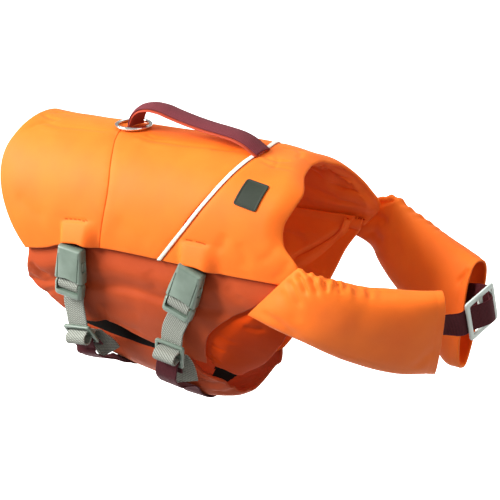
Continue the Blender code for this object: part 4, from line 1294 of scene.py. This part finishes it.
def plate(name, corners, radius, levels, finish, turn, origin, count=ARC_POINTS):
    """A body whose outline at each (y, inset) level, from back to front, is the rounded one moved inwards."""
    rings = []
    for y, distance in levels:
        flat = rounded(corners, radius, distance, count)
        rings.append(np.column_stack((flat[:, 0], np.full(len(flat), y), flat[:, 1])))
    rings = np.array(rings) @ turn.T + origin
    return tube(name, rings, finish, smooth=False)


def rectangle(width, height, x=0.0, z=0.0):
    right = width / 2.0
    up = height / 2.0
    return (x - right, z - up), (x + right, z - up), (x + right, z + up), (x - right, z + up)


def mirrored(*right):
    """An outline of the given right half, from below, and its mirror image."""
    left = [(-x, z) for x, z in reversed(right) if x > 0.0]
    return [left[-1], *right, *left[:-1]]


def block(name, size, centre, bevel, turn, origin, finish):
    """A box with round edges."""
    deep = size[1] / 2.0
    back = centre[1] + deep
    front = centre[1] - deep
    soft = min(bevel, deep * 0.8)
    small = soft * 0.3
    levels = (
        (back, soft), (back - small, small), (back - soft, 0.0),
        (front + soft, 0.0), (front + small, small), (front, soft),
    )
    outline = rectangle(size[0], size[2], centre[0], centre[2])
    return plate(name, outline, soft + 0.15, levels, finish, turn, origin, 4)


def apply_modifiers(piece):
    bpy.context.view_layer.update()
    done = bpy.data.meshes.new_from_object(piece.evaluated_get(bpy.context.evaluated_depsgraph_get()))
    piece.modifiers.clear()
    old = piece.data
    piece.data = done
    bpy.data.meshes.remove(old)


def combine(piece, tool, operation):
    """Cuts a tool out of a piece, or joins it to it, and removes the tool."""
    step = piece.modifiers.new(operation, "BOOLEAN")
    step.object = tool
    step.operation = operation
    step.solver = "EXACT"
    apply_modifiers(piece)
    bpy.data.objects.remove(tool, do_unlink=True)


def finish_hard(piece, width=0.35):
    """Rounds the sharp edges that the cuts left."""
    edge = piece.modifiers.new("edge", "BEVEL")
    edge.width = width * MM
    edge.segments = 2
    edge.limit_method = "ANGLE"
    edge.angle_limit = math.radians(SHARP_EDGE)
    edge.harden_normals = False
    apply_modifiers(piece)
    piece.data.shade_smooth()
    piece.data.set_sharp_from_angle(angle=math.radians(SHARP_SHADE))


BUCKLE_STRETCH = (1.09, 1.14, 1.0)      # how much larger the buckles are drawn across, out and down


def make_buckle(index, strap):
    """The socket and the plug of a fastened side-release buckle."""
    top = buckle_top(strap)
    turn = local_frame(*slanted(strap, top - BUCKLE_SLOPE)) * np.array(BUCKLE_STRETCH)
    origin = np.array((float(strap_x(strap, top)), BUCKLE_BACK, top))
    mid = -BUCKLE_THICK / 2.0
    front = -BUCKLE_THICK
    half = BUCKLE_WIDTH / 2.0 - 0.1

    def part(size, centre, bevel):
        return block("tool", size, centre, bevel, turn, origin, PLASTIC)

    shape = mirrored((half, -SOCKET_LENGTH), (15.7, -26.0), (13.0, 4.0))
    levels = (
        (0.0, 1.6), (-0.5, 0.6), (-1.6, 0.0), (front + 3.4, 0.0), (front + 1.5, 0.7), (front + 0.4, 1.9),
        (front, 3.3), (front, 4.4),
    )
    socket = plate("buckle_socket_body_%d" % index, shape, 1.8, levels, PLASTIC, turn, origin)
    combine(socket, part((25.0, 5.0, 26.0), (0.0, mid, -SOCKET_LENGTH + 12.0), 0.4), "DIFFERENCE")
    for side in (-1.0, 1.0):
        combine(socket, part((8.0, 6.4, 13.0), (side * 16.4, mid, -15.0), 2.6), "DIFFERENCE")
        combine(socket, part((0.8, 2.0, 29.0), (side * 11.3, front, -19.5), 0.2), "DIFFERENCE")
    arch = mirrored((12.6, -37.0), (11.6, -34.4), (6.0, -32.0), (0.0, -31.2))
    lip = plate("tool", arch, 1.5, ((mid - 1.0, 0.0), (front - 2.0, 0.0)), PLASTIC, turn, origin, 3)
    combine(socket, lip, "DIFFERENCE")
    finish_hard(socket)

    plug_top = -SOCKET_LENGTH - LAY_GAP
    bottom = plug_top - PLUG_LENGTH
    shape = mirrored((15.2, bottom), (half, plug_top))
    levels = (
        (-0.4, 2.2), (-1.0, 0.8), (-2.6, 0.0), (front + 4.2, 0.0), (front + 2.2, 0.7), (front + 1.0, 2.0),
        (front + 0.6, 3.6),
    )
    plug = plate("buckle_plug_body_%d" % index, shape, 4.6, levels, PLASTIC, turn, origin)
    combine(plug, part((24.6, BUCKLE_THICK + 4.0, 14.2), (0.0, mid, plug_top - 4.6), 1.4), "DIFFERENCE")
    combine(plug, part((24.0, 3.0, 3.0), (0.0, mid + 2.4, plug_top - 1.2), 0.8), "UNION")
    for side in (-1.0, 1.0):
        combine(plug, part((4.4, 4.0, 24.0), (side * 9.6, mid, plug_top + 9.0), 0.8), "UNION")
        combine(plug, part((4.6, 4.6, 10.4), (side * 12.4, mid, plug_top + 19.8), 1.6), "UNION")
    finish_hard(plug)
    return socket, plug


def make_frame(name, outline, radius, thick, rim, slots, bevel, edge, turn, origin, finish):
    """A flat frame, with a rim of (inset, step, small inset) and slots of (across, tall, x, z)."""
    back = thick / 2.0
    inset, step, small = rim
    levels = (
        (back, inset), (back - step, small), (back - inset, 0.0),
        (inset - back, 0.0), (step - back, small), (-back, inset),
    )
    made = plate(name, outline, radius, levels, finish, turn, origin)
    for wide, tall, x, z in slots:
        tool = block("tool", (wide, thick + 4.0, tall), (x, 0.0, z), bevel, turn, origin, finish)
        combine(made, tool, "DIFFERENCE")
    finish_hard(made, edge)
    return made


def make_adjuster(index, strap):
    lock_top, lock_slope, pitch = ADJUSTERS[index - 1]
    across, down = slanted(strap, lock_slope)
    lean = math.radians(pitch)
    turn = local_frame(across, down * math.cos(lean) + np.array((0.0, math.sin(lean), 0.0)))
    origin = np.array((float(strap_x(strap, lock_top)), ADJUSTER_FRONT, lock_top))
    outline = rectangle(LOCK_WIDTH, LOCK_LENGTH, 0.0, -LOCK_LENGTH / 2.0)
    slots = ((26.6, 7.6, 0.0, -6.8), (26.6, 8.6, 0.0, -18.8))
    name = "adjuster_body_%d" % index
    return make_frame(name, outline, 3.0, LOCK_THICK, (0.9, 0.3, 0.3), slots, 0.8, 0.6, turn, origin, PLASTIC)


def make_slide():
    outline = rectangle(SLIDE_LENGTH, SLIDE_WIDTH)
    slots = ((16.6, 30.4, -10.8, 0.0), (16.6, 30.4, 10.8, 0.0))
    return make_frame("slide_body", outline, 4.0, SLIDE_THICK, (1.1, 0.4, 0.35), slots, 1.6, 0.7, SLIDE_TURN,
                      SLIDE_CENTRE, SLIDE)


RING_PLACE = (-43.0, 0.0, 12.9 + LAY_GAP + RING_WIRE)
RING_STEPS = 96
WIRE_STEPS = 20


def make_ring():
    """The lead ring, flat on the back round the handle's foot."""
    turn = np.linspace(0.0, 2.0 * math.pi, RING_STEPS, endpoint=False)[:, None]
    roll = np.linspace(0.0, 2.0 * math.pi, WIRE_STEPS, endpoint=False)[None, :]
    reach = RING_RADIUS + RING_WIRE * np.cos(roll)
    rings = np.broadcast_arrays(reach * np.cos(turn), reach * np.sin(turn), RING_WIRE * np.sin(roll))
    points = (np.stack(rings, axis=-1) + RING_PLACE).reshape(-1, 3)
    i, j = np.meshgrid(np.arange(RING_STEPS), np.arange(WIRE_STEPS), indexing="ij")
    i *= WIRE_STEPS
    k = (i + WIRE_STEPS) % (RING_STEPS * WIRE_STEPS)
    m = (j + 1) % WIRE_STEPS
    faces = np.stack((i + j, k + j, k + m, i + m), axis=-1).reshape(-1, 4)
    ring = add_piece("ring_wire", points, faces, METAL)
    outward(ring)
    return ring


# Stage

FLOOR_HEIGHT = -0.56        # in metres, as all sizes of the stage are
FLOOR_REACH = 6.0
SKY_LOW = (0.17, 0.155, 0.145, 1.0)
SKY_HIGH = (0.55, 0.55, 0.55, 1.0)
WHITE = (1.0, 1.0, 1.0, 1.0)
LIGHTS = (
    # name, place, target, size, power, colour
    ("key", (-1.35, -0.98, 0.94), (0.0, 0.0, -0.1), 1.05, 60.0, (1.0, 0.99, 0.96)),
    ("fill", (1.6, -0.75, 0.8), (0.05, 0.0, -0.1), 1.0, 5.0, (1.0, 0.88, 0.78)),
    ("top", (0.25, 0.7, 1.5), (0.05, 0.0, -0.1), 1.4, 9.0, (1.0, 0.98, 0.95)),
)


def make_camera():
    azimuth = math.radians(27.0)
    elevation = math.radians(23.0)
    distance = 1.130
    target = Vector((0.0945, 0.0, -0.1022))
    level = math.cos(elevation)
    back = Vector((math.sin(azimuth) * level, -math.cos(azimuth) * level, math.sin(elevation)))
    made = bpy.data.cameras.new("camera")
    made.lens = 77.98
    made.sensor_width = 36.0
    camera = linked("camera", made)
    camera.location = target + back * distance
    camera.rotation_euler = (-back).to_track_quat("-Z", "Y").to_euler()
    bpy.context.scene.camera = camera


def add_light(name, place, target, size, power, colour):
    made = bpy.data.lights.new(name, "AREA")
    made.shape = "DISK"
    made.size = size
    made.energy = power
    made.color = colour
    lamp = linked(name, made)
    lamp.location = place
    lamp.rotation_euler = (Vector(target) - Vector(place)).to_track_quat("-Z", "Y").to_euler()


def make_world():
    world = bpy.data.worlds.new("studio")
    bpy.context.scene.world = world
    world.use_nodes = True
    tree = world.node_tree
    place = add_node(tree, "ShaderNodeTexCoord", {})
    split = add_node(tree, "ShaderNodeSeparateXYZ", {"Vector": place.outputs["Generated"]})
    inputs = {"From Min": -0.6, "From Max": 0.9, "Value": split.outputs["Z"]}
    spread = add_node(tree, "ShaderNodeMapRange", inputs)
    sky = tree.nodes["Background"]
    connect(tree, sky, {"Color": add_ramp(tree, spread.outputs["Result"], ((0.0, SKY_LOW), (1.0, SKY_HIGH)))})
    white = add_node(tree, "ShaderNodeBackground", {"Color": WHITE})
    seen = add_node(tree, "ShaderNodeLightPath", {})
    choose = add_node(tree, "ShaderNodeMixShader", {"Fac": seen.outputs["Is Camera Ray"]})
    connect(tree, choose, {1: sky.outputs["Background"], 2: white.outputs["Background"]})
    connect(tree, tree.nodes["World Output"], {"Surface": choose.outputs["Shader"]})


def make_floor():
    corners = [(x, y, 0.0) for x, y in rectangle(2.0 * FLOOR_REACH, 2.0 * FLOOR_REACH)]
    mesh = bpy.data.meshes.new("floor")
    mesh.from_pydata(corners, [], ((0, 1, 2, 3),))
    pale = bpy.data.materials.new("pale_floor")
    pale.use_nodes = True
    shader = pale.node_tree.nodes["Principled BSDF"]
    connect(pale.node_tree, shader, {"Base Color": (0.9, 0.9, 0.9, 1.0), "Roughness": 0.9})
    connect(pale.node_tree, shader, {"Emission Color": WHITE, "Emission Strength": 0.9})
    mesh.materials.append(pale)
    floor = linked("floor", mesh)
    floor.location = (0.0, 0.0, FLOOR_HEIGHT)
    floor.visible_diffuse = False


def put(pieces, slot, *nodes, body="jacket"):
    """Gives each piece its body, and hides the node that it replaces. The slot is not used."""
    for piece, node in zip(pieces, nodes):
        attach(piece, body)
        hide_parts(node)


def main():
    back = make_back()
    put(back, "orange_cloth", "back_rear", "back_mid", "back_front")
    put((make_piping(),), "reflective_piping", "reflective_piping")
    put((make_label(),), "label_cloth", "label")
    flaps = (make_flap("near_flap_cloth", NEAR), make_flap("far_flap_cloth", FAR))
    put(flaps, "rust_cloth", "side_flap_near", "side_flap_far")
    gussets = (make_gusset("near_gusset_cloth", NEAR), make_gusset("far_gusset_cloth", FAR))
    put(gussets, "orange_cloth", "front_gusset_near", "front_gusset_far")
    belly = make_belly()
    put((belly,), "rust_cloth", "belly_panel")
    floats = (make_float("near_float_cloth", FLOAT_NEAR, NEAR, NEAR_FLOAT_CREASES, 71, 2.0),
              make_float("far_float_cloth", FLOAT_FAR, FAR, FAR_FLOAT_CREASES, 81, 15.0))
    put(floats, "orange_cloth", "neck_float_near", "neck_float_far")
    for index, strap in enumerate(STRAPS, start=1):
        stub, grey, belt = make_straps(index, strap)
        put((stub, belt), "burgundy_webbing", "buckle_web_%d" % index, "belly_strap_%d" % index)
        put((grey,), "grey_webbing", "grey_web_%d" % index)
        put(make_buckle(index, strap), "buckle_plastic", "buckle_socket_%d" % index, "buckle_plug_%d" % index)
        put((make_adjuster(index, strap),), "buckle_plastic", "adjuster_%d" % index)
    handle, lining = make_handle()
    put((handle,), "burgundy_webbing", "handle_webbing")
    put((lining,), "orange_cloth", "handle_lining")
    put((make_neck_strap(),), "burgundy_webbing", "neck_strap")
    put((make_slide(),), "slide_plastic", "neck_slide")
    put((make_ring(),), "ring_metal", "lead_ring", body="ring")

    make_camera()
    make_world()
    make_floor()
    for row in LIGHTS:
        add_light(*row)
    bpy.context.scene.view_settings.view_transform = "Standard"
    bpy.context.scene.view_settings.look = "Medium High Contrast"


main()
